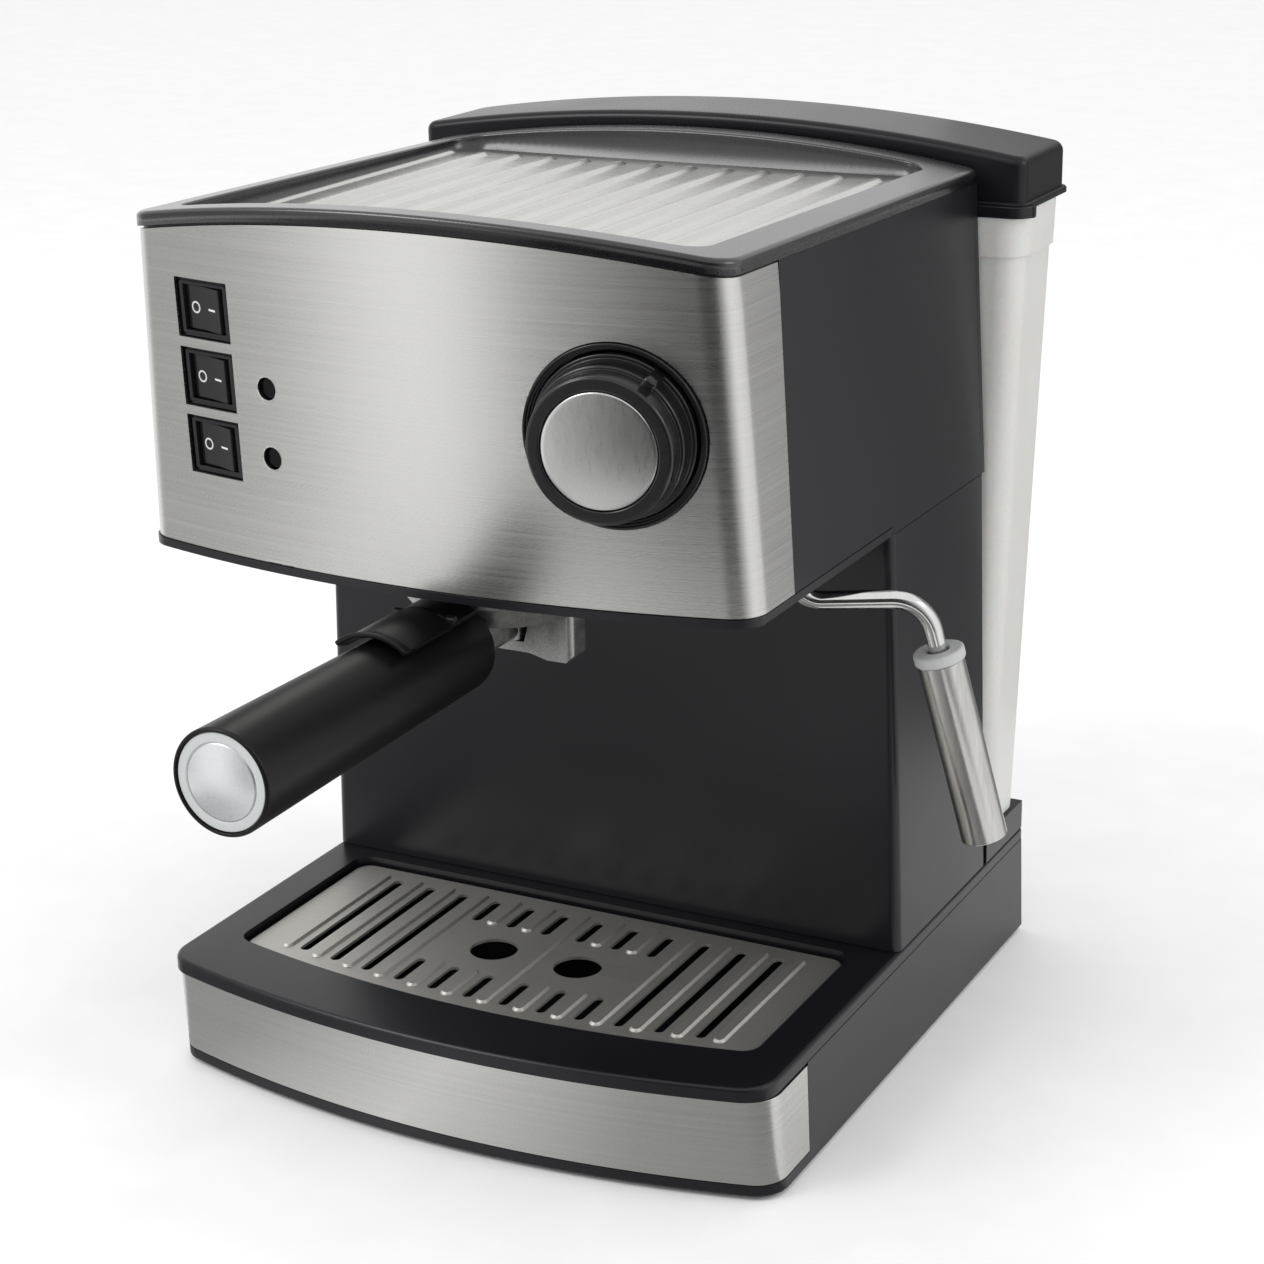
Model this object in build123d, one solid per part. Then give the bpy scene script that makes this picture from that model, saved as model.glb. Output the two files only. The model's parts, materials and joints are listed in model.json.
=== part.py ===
from build123d import *

import os
from math import cos, radians, sin, sqrt

os.makedirs("parts", exist_ok=True)

# ---------------------------------------------------------------------------
# Driving dimensions, in millimetres. +X is the right-hand side seen from the
# front, +Y is the back, +Z is up. Z = 0 is the surface the machine stands on,
# and X = 0, Y = 0 is the middle of its base.
# ---------------------------------------------------------------------------
WALL = 2.5                  # moulded housing wall
SHEET = 0.8                 # stainless sheet
SEAM = 0.2                  # gap between pieces that are screwed together
SLIP = 0.3                  # gap round a piece that moves or lifts out
RUNNING = 0.06              # radial clearance of a shaft in its bore
FRONT_RADIUS = 370.0        # bow of the base and head fronts, seen from above
FRONT_CORNER = 10.0         # vertical rounding at the front corners
WRAP_END = -93.0            # how far back the stainless sheets reach along the sides

BASE_HALF_FLOOR = 103.7     # half width at the floor
BASE_HALF_RIM = 102.5       # half width at the tray rim
BASE_FRONT_FLOOR = 131.0    # how far the middle of the base front stands forward
BASE_FRONT_RIM = 133.6
RIM_OVERHANG = 2.0          # tray rim over the stainless band
BASE_REAR = 86.8
BASE_LOW = 1.6              # underside, held off the floor by the feet
BAND_LOW = 5.2
BAND_TOP = 32.6
DECK_LOW = 33.5             # underside of the tray rim
DECK_TOP = 37.9             # top of the tray rim
REAR_DECK_TOP = 47.7        # shelf that the tank stands on

COLUMN_FRONT = -24.0
COLUMN_BACK = 52.5
COLUMN_CORNER = 3.0

HEAD_LOW = 172.0            # underside of the head
HEAD_HALF_LOW = 98.5
HEAD_HALF_TOP = 93.3        # at TAPER_TOP
HEAD_FRONT_LOW = 131.5
HEAD_FRONT_TOP = 135.5
TAPER_TOP = 268.6           # height where the two sizes above hold
PAN_THICK = 2.4
PAN_LIP = 0.6               # under-pan and top rim stand proud by this
ARCH_APEX = 276.1           # top of the arch above Y = 0
ARCH_RISE = 7.8             # fall of the arch from the middle to the sides
ARCH_SLOPE = 1.1            # degrees, falling to the back
RIM_THICK = 4.0

PLATE_HALF = 82.5           # cup plate recess
PLATE_FRONT = 127.0
PLATE_REAR = 42.0
PLATE_CORNER = 9.0
PLATE_TOP = 265.4
PLATE_RIBS = 12
PLATE_RIB_PITCH = 12.6
PLATE_RIB_WIDTH = 4.6
PLATE_RIB_HEIGHT = 0.9

TRAY_HALF = 89.6            # opening in the tray rim
TRAY_FRONT = 112.5
TRAY_REAR = -29.5
TRAY_CORNER = 6.0
TRAY_LEDGE = 3.0            # width of the step that carries the tray
TRAY_LEDGE_TOP = 32.9
TRAY_LEDGE_LOW = 30.9
TRAY_WALL = 1.6
TRAY_FLOOR = 9.0
FLANGE_THICK = 1.4
GRATE_THICK = 1.0
GRATE_PITCH = 12.56         # slots across
SLOT_WIDTH = 3.4
DRAIN_RADIUS = 7.6
DRAIN_X = 14.9
DRAIN_Y = -70.0

GROUP_Y = -82.0             # axis of the brewing group
BASKET_RADIUS = 25.5        # 51 mm basket
BOWL_FIT = 1.0              # room round the basket
BOWL_WALL = 4.0
BOWL_RADIUS = BASKET_RADIUS + BOWL_FIT + BOWL_WALL
BOWL_TAPER = 5.1            # the bowl is this much smaller at its foot
BOWL_LOW = 156.0
BOWL_TOP = 178.0
LUG_RADIUS = BOWL_RADIUS + 3.1
LUG_LOW = 173.6
LUG_TOP = 177.2
LUG_COUNT = 3
LUG_ANGLE = 32.0
UNLOCK_ANGLE = 30.0         # turn that frees the holder
HANDLE_Z = 150.5
HANDLE_START = -106.0
HANDLE_END = -224.0
HANDLE_RADIUS_IN = 13.2
HANDLE_RADIUS_OUT = 14.7
LEVER_PIVOT_Y = -125.0
LEVER_PIVOT_Z = 164.4
LEVER_PIN_RADIUS = 1.2

KNOB_X = 62.6
KNOB_Z = 223.2
KNOB_HOLE = 25.6
KNOB_RADIUS = 20.2
KNOB_PROUD = 13.6
KNOB_CAP_RADIUS = 16.0
SPINDLE_RADIUS = 3.0

SWITCH_X = -66.8
SWITCH_Z = (246.0, 226.0, 206.1)
SWITCH_NAMES = ("power", "coffee", "steam")
SWITCH_WIDE = 20.6          # hole in the panel
SWITCH_TALL = 17.2
ROCKER_HALF = 7.3
ROCKER_TALL = 12.4
ROCKER_TILT = 7.0           # degrees each way
ROCKER_PIN = 1.4
LAMP_X = -44.7
LAMP_Z = (226.2, 206.1)
LAMP_RADIUS = 3.3

WAND_X = 81.0               # swivel of the steam wand
WAND_Y = -55.7
WAND_Z = 159.0              # height of its level run
WAND_HEADING = 28.0         # degrees from +X towards +Y
WAND_REACH = 38.0           # level run, swivel to the lower bend
WAND_LEAN = 14.2            # degrees, lower run from the vertical
WAND_RADIUS = 2.8
SLEEVE_RADIUS = 6.9
SLEEVE_WALL = 0.8
SLEEVE_LENGTH = 57.0
FROTH_CAP_RADIUS = 7.6
FROTH_CAP_THICK = 3.6

TANK_FRONT = 56.0
TANK_REAR_TOP = 91.0
TANK_REAR_LOW = 85.5
TANK_HALF_LOW = 101.0
TANK_HALF_TOP = 106.6
TANK_WALL = 2.0
TANK_TOP = 254.6
COLLAR_LOW = 240.0
COLLAR_PROUD = 1.1
SPOUT_Y = 71.0              # tank outlet
SPIGOT_RADIUS = 9.0
LID_HALF = 107.3
LID_FRONT = 57.0
LID_REAR = 96.0
LID_APEX = 279.0
LID_RISE = 8.6
LID_WALL = 2.2

BOILER_RADIUS = 37.0
BOILER_JOINT = 208.0
BOILER_TOP = 236.0


# ---------------------------------------------------------------------------
# Helpers
# ---------------------------------------------------------------------------
def save(name, shape):
    """Writes one sub-part, whose node is called name."""
    export_step(shape, f"parts/{name}.step")


def span(x0, x1, y0, y1, z0, z1):
    """A box between two corners."""
    size = (x1 - x0, y1 - y0, z1 - z0)
    return Pos((x0 + x1) / 2, (y0 + y1) / 2, (z0 + z1) / 2) * Box(*size)


def rod(x, y, low, high, radius):
    """An upright cylinder between two heights."""
    return Pos(x, y, (low + high) / 2) * Cylinder(radius, high - low)


def pin_along(plane, low, high, radius, top_radius=None):
    """A cylinder or cone on a plane's normal, between two heights above it."""
    top = radius if top_radius is None else top_radius
    shape = Cylinder(radius, high - low) if top == radius else Cone(radius, top, high - low)
    return plane * (Pos(0, 0, (low + high) / 2) * shape)


def slab(sketch, low, high):
    """A flat outline drawn up between two heights."""
    return extrude(Pos(0, 0, low) * sketch, high - low)


def at_height(low, high, z, z_low, z_high):
    """The size at height z of something that tapers evenly between two heights."""
    return low + (high - low) * (z - z_low) / (z_high - z_low)


def bow(half):
    """How far the bowed front falls back at this half width."""
    return FRONT_RADIUS - sqrt(FRONT_RADIUS**2 - half**2)


def plan(half, front, rear, corner, rear_corner=0.0):
    """Outline seen from above: bowed front, rounded front corners, flat back."""
    side = bow(half) - front
    front_edge = ThreePointArc((-half, side), (0, -front), (half, side))
    others = Polyline((half, side), (half, rear), (-half, rear), (-half, side))
    outline = make_face(front_edge + others)
    outline = fillet(outline.vertices().group_by(Axis.Y)[0], corner)
    if rear_corner > 0:
        outline = fillet(outline.vertices().group_by(Axis.Y)[-1], rear_corner)
    return outline


def base_sizes(z):
    half = at_height(BASE_HALF_FLOOR, BASE_HALF_RIM, z, 0, DECK_TOP)
    front = at_height(BASE_FRONT_FLOOR, BASE_FRONT_RIM, z, 0, DECK_TOP)
    return half, front, BASE_REAR


def head_sizes(z):
    half = at_height(HEAD_HALF_LOW, HEAD_HALF_TOP, z, HEAD_LOW, TAPER_TOP)
    front = at_height(HEAD_FRONT_LOW, HEAD_FRONT_TOP, z, HEAD_LOW, TAPER_TOP)
    return half, front, COLUMN_BACK


def bowed_block(sizes, low, high, inset=0.0):
    """A tapering body with a bowed front, drawn in by inset all round."""
    ends = []
    for z in (low, high):
        half, front, rear = sizes(z)
        outline = plan(half - inset, front - inset, rear - inset, FRONT_CORNER - inset)
        ends.append(Pos(0, 0, z) * outline)
    return loft(ends, ruled=True)


def straight_block(sizes, low, high, corner):
    """A tapering box whose four upright edges are rounded."""
    ends = []
    for z in (low, high):
        half, front, rear = sizes(z)
        middle = Pos(0, (front + rear) / 2, z)
        ends.append(middle * RectangleRounded(2 * half, rear - front, corner))
    return loft(ends, ruled=True)


def head_cavity_sizes(z):
    half, front, rear = head_sizes(z)
    return half, front, rear + 20


def column_block(low, high, inset=0.0):
    """The column between base and head."""
    def sizes(z):
        half = at_height(BASE_HALF_RIM, HEAD_HALF_LOW, z, DECK_TOP, HEAD_LOW)
        return half - inset, COLUMN_FRONT + inset, COLUMN_BACK - inset
    return straight_block(sizes, low, high, COLUMN_CORNER)


def under_arch(drop=0.0):
    """Everything below the arched top of the head, lowered by drop."""
    radius = (HEAD_HALF_TOP**2 + ARCH_RISE**2) / (2 * ARCH_RISE)
    tilt = radians(ARCH_SLOPE)
    axis = Plane(origin=(0, 0, ARCH_APEX - radius), x_dir=(1, 0, 0), z_dir=(0, cos(tilt), -sin(tilt)))
    return axis * Cylinder(radius - drop, 600)


def under_lid_arch(drop=0.0):
    """Everything below the arched top of the tank lid, lowered by drop."""
    radius = (LID_HALF**2 + LID_RISE**2) / (2 * LID_RISE)
    axis = Plane(origin=(0, 0, LID_APEX - radius), x_dir=(1, 0, 0), z_dir=(0, 1, 0))
    return axis * Cylinder(radius - drop, 600)


def on_panel(x, z):
    """Plane on the head front: X to the right, Y up the panel, Z straight out of it."""
    slope = x / sqrt(FRONT_RADIUS**2 - x**2)
    lean = (HEAD_FRONT_TOP - HEAD_FRONT_LOW) / (TAPER_TOP - HEAD_LOW)
    y = bow(x) - head_sizes(z)[1]
    return Plane(origin=(x, y, z), x_dir=(1, slope, 0), z_dir=(slope, -1, -lean))


def pipe(points, radii, radius, bore=0.0):
    """A round pipe along straight runs joined by tangent arcs."""
    path = FilletPolyline(*points, radius=radii)
    section = Circle(radius) - Circle(bore) if bore > 0 else Circle(radius)
    start = Plane(origin=path @ 0, z_dir=path % 0)
    return sweep(start * section, path=path)


def screw(plane, radius, length, head_radius, head_height):
    """A pan-head screw whose head sits on the plane and whose shank goes down into it."""
    head = pin_along(plane, 0, head_height, head_radius, head_radius * 0.8)
    shank = pin_along(plane, -length, 0, radius)
    slot = plane * (Pos(0, 0, head_height) * Box(head_radius * 1.2, 0.7, 0.8))
    return head + shank - slot


FRONT_ZONE = span(-150, 150, -200, WRAP_END, -20, 320)
BACK_ZONE = span(-150, 150, WRAP_END, 200, -20, 320)
GROUP = Pos(0, GROUP_Y, 0)
KNOB = on_panel(KNOB_X, KNOB_Z)
SWITCHES = [on_panel(SWITCH_X, z) for z in SWITCH_Z]
LAMPS = [on_panel(LAMP_X, z) for z in LAMP_Z]

# ---------------------------------------------------------------------------
# Base
# ---------------------------------------------------------------------------
tray_opening = plan(TRAY_HALF, TRAY_FRONT, TRAY_REAR, TRAY_CORNER, TRAY_CORNER)
tray_well = plan(TRAY_HALF - TRAY_LEDGE, TRAY_FRONT - TRAY_LEDGE, TRAY_REAR - TRAY_LEDGE,
                 TRAY_CORNER - 1, TRAY_CORNER - 1)
rim_half = base_sizes(DECK_TOP)[0]
rim_plan = plan(rim_half, BASE_FRONT_RIM + RIM_OVERHANG, BASE_REAR, FRONT_CORNER + 1)
deck = slab(rim_plan, DECK_LOW, DECK_TOP)
deck = fillet(deck.edges().group_by(Axis.Z)[-1].filter_by(lambda e: e.center().Y < WRAP_END), 1.4)
base_skin = bowed_block(base_sizes, BASE_LOW, DECK_LOW)
band_step = base_skin - bowed_block(base_sizes, BASE_LOW, DECK_LOW, SHEET + SEAM)
band_step &= FRONT_ZONE & span(-150, 150, -200, 0, BAND_LOW - SEAM, 100)
shelf = span(-rim_half, rim_half, COLUMN_BACK + SLIP, BASE_REAR, DECK_TOP, REAR_DECK_TOP)
base_housing = base_skin - band_step + deck + shelf
base_housing -= bowed_block(base_sizes, -10, TRAY_LEDGE_LOW, SHEET + SEAM + WALL)
base_housing -= slab(tray_opening, TRAY_LEDGE_TOP, 60) + slab(tray_well, 0, 60)
column_bay = span(-rim_half + WALL + 1, rim_half - WALL - 1, COLUMN_FRONT + WALL + 1,
                  COLUMN_BACK - WALL, 20, 60)
tank_bay = span(-rim_half + WALL + 1, rim_half - WALL - 1, COLUMN_BACK + SLIP + WALL,
                BASE_REAR - WALL - 1, 20, REAR_DECK_TOP - WALL)
SOCKET_RADIUS = SPIGOT_RADIUS + 4.5
GLAND = Plane(origin=(62, BASE_REAR, 20), x_dir=(-1, 0, 0), z_dir=(0, 1, 0))
GLAND_RADIUS = 6.0
base_housing -= column_bay + tank_bay
COVER_TOP = BASE_LOW + 2.0
COVER_SCREWS = [(x, y) for x in (-92.2, 92.2) for y in (-60, 40)]
SCREW_RADIUS = 1.5
POST_RADIUS = 3.6
WEB_REACH = 101.0           # webs tie the screw posts to the side walls
for x, y in COVER_SCREWS:
    wall_x = WEB_REACH if x > 0 else -WEB_REACH
    base_housing += span(min(x, wall_x), max(x, wall_x), y - 1, y + 1, COVER_TOP + 4, COVER_TOP + 16)
    base_housing += rod(x, y, COVER_TOP + SEAM, TRAY_LEDGE_LOW + 1, POST_RADIUS)
    base_housing -= rod(x, y, COVER_TOP - 1, COVER_TOP + 12, SCREW_RADIUS + 0.02)
base_housing -= rod(0, SPOUT_Y, 20, 60, SOCKET_RADIUS)
base_housing -= pin_along(GLAND, -10, 5, GLAND_RADIUS + SEAM)
save("base_housing", base_housing)

base_band = bowed_block(base_sizes, BAND_LOW, BAND_TOP)
base_band -= bowed_block(base_sizes, BAND_LOW - 1, BAND_TOP + 1, SHEET)
base_band &= span(-150, 150, -200, WRAP_END - SEAM, 0, 60)
save("base_band", base_band)

COVER_INSET = SHEET + 2 * SEAM + WALL
cover_plan = plan(base_sizes(BASE_LOW)[0] - COVER_INSET, BASE_FRONT_FLOOR - COVER_INSET,
                  BASE_REAR - COVER_INSET, FRONT_CORNER - COVER_INSET)
FOOT_PLACES = [(x, y) for x in (-84, 84) for y in (-98, 70)]
FOOT_RADIUS = 8.0
FOOT_STEM = 3.0
bottom_cover = slab(cover_plan, BASE_LOW, COVER_TOP)
vents = [Pos(x * 9.0, 10, BASE_LOW + 1) * Box(3, 50, 4) for x in range(-4, 5)]
for vent in vents:
    bottom_cover -= vent
for x, y in FOOT_PLACES:
    bottom_cover -= rod(x, y, 0, 10, FOOT_STEM + SEAM)
for x, y in COVER_SCREWS:
    bottom_cover -= rod(x, y, 0, 10, SCREW_RADIUS + SEAM)
save("bottom_cover", bottom_cover)

feet = []
for x, y in FOOT_PLACES:
    pad = fillet(rod(x, y, 0, BASE_LOW, FOOT_RADIUS).edges().group_by(Axis.Z)[0], 0.6)
    feet.append(pad + rod(x, y, BASE_LOW, BASE_LOW + 4, FOOT_STEM))
save("feet", Compound(children=feet))

# ---------------------------------------------------------------------------
# Drip tray and grate
# ---------------------------------------------------------------------------
def tray_outline(gap):
    return plan(TRAY_HALF - gap, TRAY_FRONT - gap, TRAY_REAR - gap, TRAY_CORNER - 1, TRAY_CORNER - 1)


FLANGE_LOW = TRAY_LEDGE_TOP + 0.05
FLANGE_TOP = FLANGE_LOW + FLANGE_THICK
basin_gap = TRAY_LEDGE + SLIP + 0.2
drip_tray = slab(tray_outline(SLIP), FLANGE_LOW, FLANGE_TOP)
drip_tray += slab(tray_outline(basin_gap), TRAY_FLOOR, FLANGE_TOP)
drip_tray -= slab(tray_outline(basin_gap + TRAY_WALL), TRAY_FLOOR + TRAY_WALL, 60)
save("drip_tray", drip_tray)

GRATE_GAP = 1.6
GRATE_LOW = FLANGE_TOP + 0.05
GRATE_TOP = GRATE_LOW + GRATE_THICK
drip_grate = slab(tray_outline(GRATE_GAP), GRATE_LOW, GRATE_TOP)


def slot(x, y0, y1):
    """One long round-ended opening in the grate."""
    shape = Rot(0, 0, 90) * SlotOverall(y1 - y0, SLOT_WIDTH)
    return slab(Pos(x, (y0 + y1) / 2) * shape, 20, 60)


def rib(x, y0, y1, low, width, height):
    """A raised round-ended rib along Y."""
    shape = Rot(0, 0, 90) * SlotOverall(y1 - y0, width)
    bar = slab(Pos(x, (y0 + y1) / 2) * shape, low, low + height)
    return chamfer(bar.edges().group_by(Axis.Z)[-1], height * 0.8)


SLOT_BACK = TRAY_REAR - 8.5
SLOT_FRONT = -TRAY_FRONT + 10.0
MIDDLE_SLOTS = 6
for column in range(12):
    x = (column - 5.5) * GRATE_PITCH
    front = SLOT_FRONT + bow(x)
    if abs(column - 5.5) < MIDDLE_SLOTS / 2:
        drip_grate -= slot(x, SLOT_BACK - 16, SLOT_BACK) + slot(x, front, front + 16)
    else:
        drip_grate -= slot(x, front, SLOT_BACK)
for side in (-1, 1):
    drip_grate -= rod(side * DRAIN_X, DRAIN_Y, 20, 60, DRAIN_RADIUS)
GRATE_RIB_HEIGHT = 0.8
for column in range(13):
    x = (column - 6) * GRATE_PITCH
    front = SLOT_FRONT + bow(x)
    if 0 < abs(column - 6) < MIDDLE_SLOTS / 2:
        drip_grate += rib(x, SLOT_BACK - 17, SLOT_BACK + 2, GRATE_TOP, 4, GRATE_RIB_HEIGHT)
        drip_grate += rib(x, front - 2, front + 17, GRATE_TOP, 4, GRATE_RIB_HEIGHT)
    else:
        drip_grate += rib(x, front - 2, SLOT_BACK + 2, GRATE_TOP, 4, GRATE_RIB_HEIGHT)
save("drip_grate", drip_grate)

# ---------------------------------------------------------------------------
# Column, rear cover and head
# ---------------------------------------------------------------------------
COVER_FRONT = COLUMN_BACK - WALL
column_low = DECK_TOP + SEAM
column_housing = column_block(column_low, HEAD_LOW - SEAM)
column_housing -= column_block(column_low - 5, HEAD_LOW + 5, WALL)
column_housing &= span(-150, 150, -100, COVER_FRONT - SEAM, 0, 300)
save("column_housing", column_housing)

back_zone = span(-150, 150, COVER_FRONT, COLUMN_BACK, 0, 300)
rear_head = bowed_block(head_sizes, HEAD_LOW, 290) & under_arch(RIM_THICK + SEAM)
rear_cover = (rear_head + column_block(column_low, HEAD_LOW)) & back_zone
for row in range(6):
    louvre = span(-45, 45, 0, 100, 190 + row * 8, 193 + row * 8)
    rear_cover -= louvre & back_zone
REAR_SCREWS = [(x, z) for x in (-84, 84) for z in (58, 160, 240)]
for x, z in REAR_SCREWS:
    rear_cover -= span(x - 1.7, x + 1.7, 0, 100, z - 1.7, z + 1.7)
save("rear_cover", rear_cover)

nose = bowed_block(head_sizes, HEAD_LOW, 290, SHEET + SEAM) & FRONT_ZONE
cheeks = bowed_block(head_sizes, HEAD_LOW, 290) & BACK_ZONE
head_housing = (nose + cheeks) & under_arch(RIM_THICK + SEAM)
head_housing -= bowed_block(head_cavity_sizes, HEAD_LOW - 5, 300, SHEET + SEAM + WALL)
head_housing &= span(-150, 150, -200, COVER_FRONT - SEAM, 0, 300)
head_housing -= span(-150, 150, -200, COLUMN_FRONT, 0, HEAD_LOW + PAN_THICK + SEAM)
knob_hole = pin_along(KNOB, -30, 10, KNOB_HOLE)
lamp_holes = [pin_along(lamp, -30, 10, LAMP_RADIUS) for lamp in LAMPS]
switch_holes = []
for place in SWITCHES:
    window = RectangleRounded(SWITCH_WIDE, SWITCH_TALL, 1.6)
    switch_holes.append(place * (Pos(0, 0, -20) * extrude(window, 30)))
for hole in [knob_hole, *lamp_holes, *switch_holes]:
    head_housing -= hole
save("head_housing", head_housing)

head_panel = bowed_block(head_sizes, HEAD_LOW + PAN_THICK + SEAM, 290)
head_panel -= bowed_block(head_sizes, HEAD_LOW - 5, 300, SHEET)
head_panel &= under_arch(RIM_THICK + 0.9) & span(-150, 150, -200, WRAP_END - SEAM, 0, 300)
for hole in [knob_hole, *lamp_holes, *switch_holes]:
    head_panel -= hole
save("head_panel", head_panel)

RING_RADIUS = 42.0          # casting that fills the opening in the under-pan
NUT_RADIUS = 6.0
under_pan = bowed_block(head_sizes, HEAD_LOW, HEAD_LOW + PAN_THICK, -PAN_LIP)
under_pan &= span(-HEAD_HALF_LOW, HEAD_HALF_LOW, -200, COLUMN_FRONT - SEAM, 0, 300)
under_pan -= rod(0, GROUP_Y, 100, 200, RING_RADIUS + SEAM)
under_pan -= rod(WAND_X, WAND_Y, 100, 200, NUT_RADIUS + SEAM)
save("under_pan", under_pan)

plate_opening = plan(PLATE_HALF, PLATE_FRONT, PLATE_REAR, PLATE_CORNER, PLATE_CORNER)
ledge_inner = plan(PLATE_HALF - 5, PLATE_FRONT - 5, PLATE_REAR - 5, PLATE_CORNER - 4, PLATE_CORNER - 4)
collar_outer = plan(PLATE_HALF + WALL, PLATE_FRONT + WALL, PLATE_REAR + WALL, PLATE_CORNER, PLATE_CORNER)
LEDGE_TOP = PLATE_TOP - 1.0
LEDGE_LOW = LEDGE_TOP - 2.0
rim_body = bowed_block(head_sizes, 240, 290, -PAN_LIP) & under_arch()
top_rim = rim_body - under_arch(RIM_THICK)
top_rim += slab(collar_outer, LEDGE_LOW, 300) & under_arch()
top_rim -= slab(plate_opening, LEDGE_TOP, 300)
top_rim -= slab(ledge_inner, 200, 300)
save("top_rim", top_rim)

cup_plate = slab(plan(PLATE_HALF - SLIP, PLATE_FRONT - SLIP, PLATE_REAR - SLIP,
                      PLATE_CORNER - SLIP, PLATE_CORNER - SLIP), LEDGE_TOP, PLATE_TOP)
for index in range(PLATE_RIBS):
    x = (index - (PLATE_RIBS - 1) / 2) * PLATE_RIB_PITCH
    cup_plate += rib(x, -PLATE_FRONT + bow(x) + 8, PLATE_REAR - 8, PLATE_TOP,
                     PLATE_RIB_WIDTH, PLATE_RIB_HEIGHT)
save("cup_plate", cup_plate)

# ---------------------------------------------------------------------------
# Switches and lamps, each built on its own plane of the front panel
# ---------------------------------------------------------------------------
FRAME_TOP = -0.9            # the switch frame lies just below the panel face
PIVOT_DEPTH = -5.4
ROCKER_EDGE = FRAME_TOP - 0.15
ROCKER_DIP = 0.55
CAVITY_HALF = 7.95
CAVITY_TALL = 13.2


def switch_body():
    """Frame and body of one switch, with the cavity that the rocker sits in."""
    frame = extrude(Pos(0, 0, FRAME_TOP - 16) * RectangleRounded(SWITCH_WIDE - 0.4, SWITCH_TALL - 0.4, 1.4), 16)
    border = Rectangle(SWITCH_WIDE, SWITCH_TALL) - RectangleRounded(SWITCH_WIDE - 2.2, SWITCH_TALL - 2.2, 0.8)
    frame -= extrude(Pos(0, 0, FRAME_TOP - 0.6) * border, 2)
    cavity = Pos(0, 0, FRAME_TOP - 5) * Box(2 * CAVITY_HALF, CAVITY_TALL, 10.2)
    bore = Pos(0, 0, PIVOT_DEPTH) * Rot(90, 0, 0) * Cylinder(ROCKER_PIN + RUNNING, ROCKER_TALL + 2.4)
    tabs = [Pos(x, 0, FRAME_TOP - 19.5) * Box(0.8, 4.8, 7.2) for x in (-5, 0, 5)]
    body = frame - cavity - bore
    for tab in tabs:
        body += tab
    return body


def rocker():
    """A rocker with two shallow faces, its stub pins and its off position."""
    profile = Polyline((-ROCKER_HALF, -4), (-ROCKER_HALF, ROCKER_EDGE), (0, ROCKER_EDGE - ROCKER_DIP),
                       (ROCKER_HALF, ROCKER_EDGE), (ROCKER_HALF, -4), (2.4, -7.4), (-2.4, -7.4), close=True)
    key = extrude(Plane.XZ * make_face(profile), ROCKER_TALL / 2, both=True)
    key = fillet(key.edges().filter_by(Axis.Y).group_by(Axis.Z)[-1], 0.5)
    pins = Pos(0, 0, PIVOT_DEPTH) * Rot(90, 0, 0) * Cylinder(ROCKER_PIN, ROCKER_TALL + 1.8)
    turned = Pos(0, 0, PIVOT_DEPTH) * Rot(0, -ROCKER_TILT, 0) * Pos(0, 0, -PIVOT_DEPTH)
    return turned * (key + pins)


save("switch_bodies", Compound(children=[place * switch_body() for place in SWITCHES]))
for name, place in zip(SWITCH_NAMES, SWITCHES):
    save(f"rocker_{name}", place * rocker())

lamps = []
for place in LAMPS:
    lens = pin_along(place, -6, -1.2, LAMP_RADIUS - 0.15)
    lens = fillet(lens.edges().sort_by(Axis.Y)[0], 0.6)
    body = pin_along(place, -7.5, -6, LAMP_RADIUS + 1.2) + pin_along(place, -22, -7.5, 2.6)
    lamps.append(lens + body + pin_along(place, -27, -22, 0.8))
save("indicator_lamps", Compound(children=lamps))

# ---------------------------------------------------------------------------
# Steam knob, its bezel and the steam valve
# ---------------------------------------------------------------------------
BEZEL_FLOOR = -7.0
BEZEL_WALL = 1.6
bezel_edge = KNOB_HOLE - 0.3
knob_bezel = pin_along(KNOB, BEZEL_FLOOR - 1.5, 0.9, bezel_edge)
knob_bezel -= pin_along(KNOB, BEZEL_FLOOR, 5, bezel_edge - BEZEL_WALL)
knob_bezel += pin_along(KNOB, BEZEL_FLOOR, -1.5, bezel_edge - 0.5) - pin_along(KNOB, -20, 5, bezel_edge - 1.9)
knob_bezel -= pin_along(KNOB, -20, 5, SPINDLE_RADIUS + 1)
save("knob_bezel", knob_bezel)

steam_knob = pin_along(KNOB, BEZEL_FLOOR + 0.8, 1.4, bezel_edge - 2.6)
steam_knob += pin_along(KNOB, 1.4, 7.4, KNOB_RADIUS + 1.3, KNOB_RADIUS + 0.9)
front_ring = pin_along(KNOB, 7.4, KNOB_PROUD, KNOB_RADIUS, KNOB_RADIUS - 0.3)
steam_knob += front_ring
pointer = KNOB * (Rot(0, 0, -36) * Pos(0, KNOB_RADIUS - 0.4, 5.2) * Box(3.6, 5.6, 8.0))
steam_knob += pointer
steam_knob -= pin_along(KNOB, KNOB_PROUD - 1.6, KNOB_PROUD + 5, KNOB_CAP_RADIUS + 0.1)
steam_knob -= pin_along(KNOB, -20, KNOB_PROUD - 4, SPINDLE_RADIUS + 0.05)
save("steam_knob", steam_knob)

CAP_SPHERE = 140.0
cap_blank = pin_along(KNOB, KNOB_PROUD - 1.55, KNOB_PROUD + 3, KNOB_CAP_RADIUS)
cap_dome = KNOB * (Pos(0, 0, KNOB_PROUD + 0.7 - CAP_SPHERE) * Sphere(CAP_SPHERE))
save("knob_cap", cap_blank & cap_dome)

spindle = pin_along(KNOB, -34, KNOB_PROUD - 4.2, SPINDLE_RADIUS)
spindle += pin_along(KNOB, -38, -34, 0.6, SPINDLE_RADIUS)
save("valve_spindle", spindle)

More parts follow.
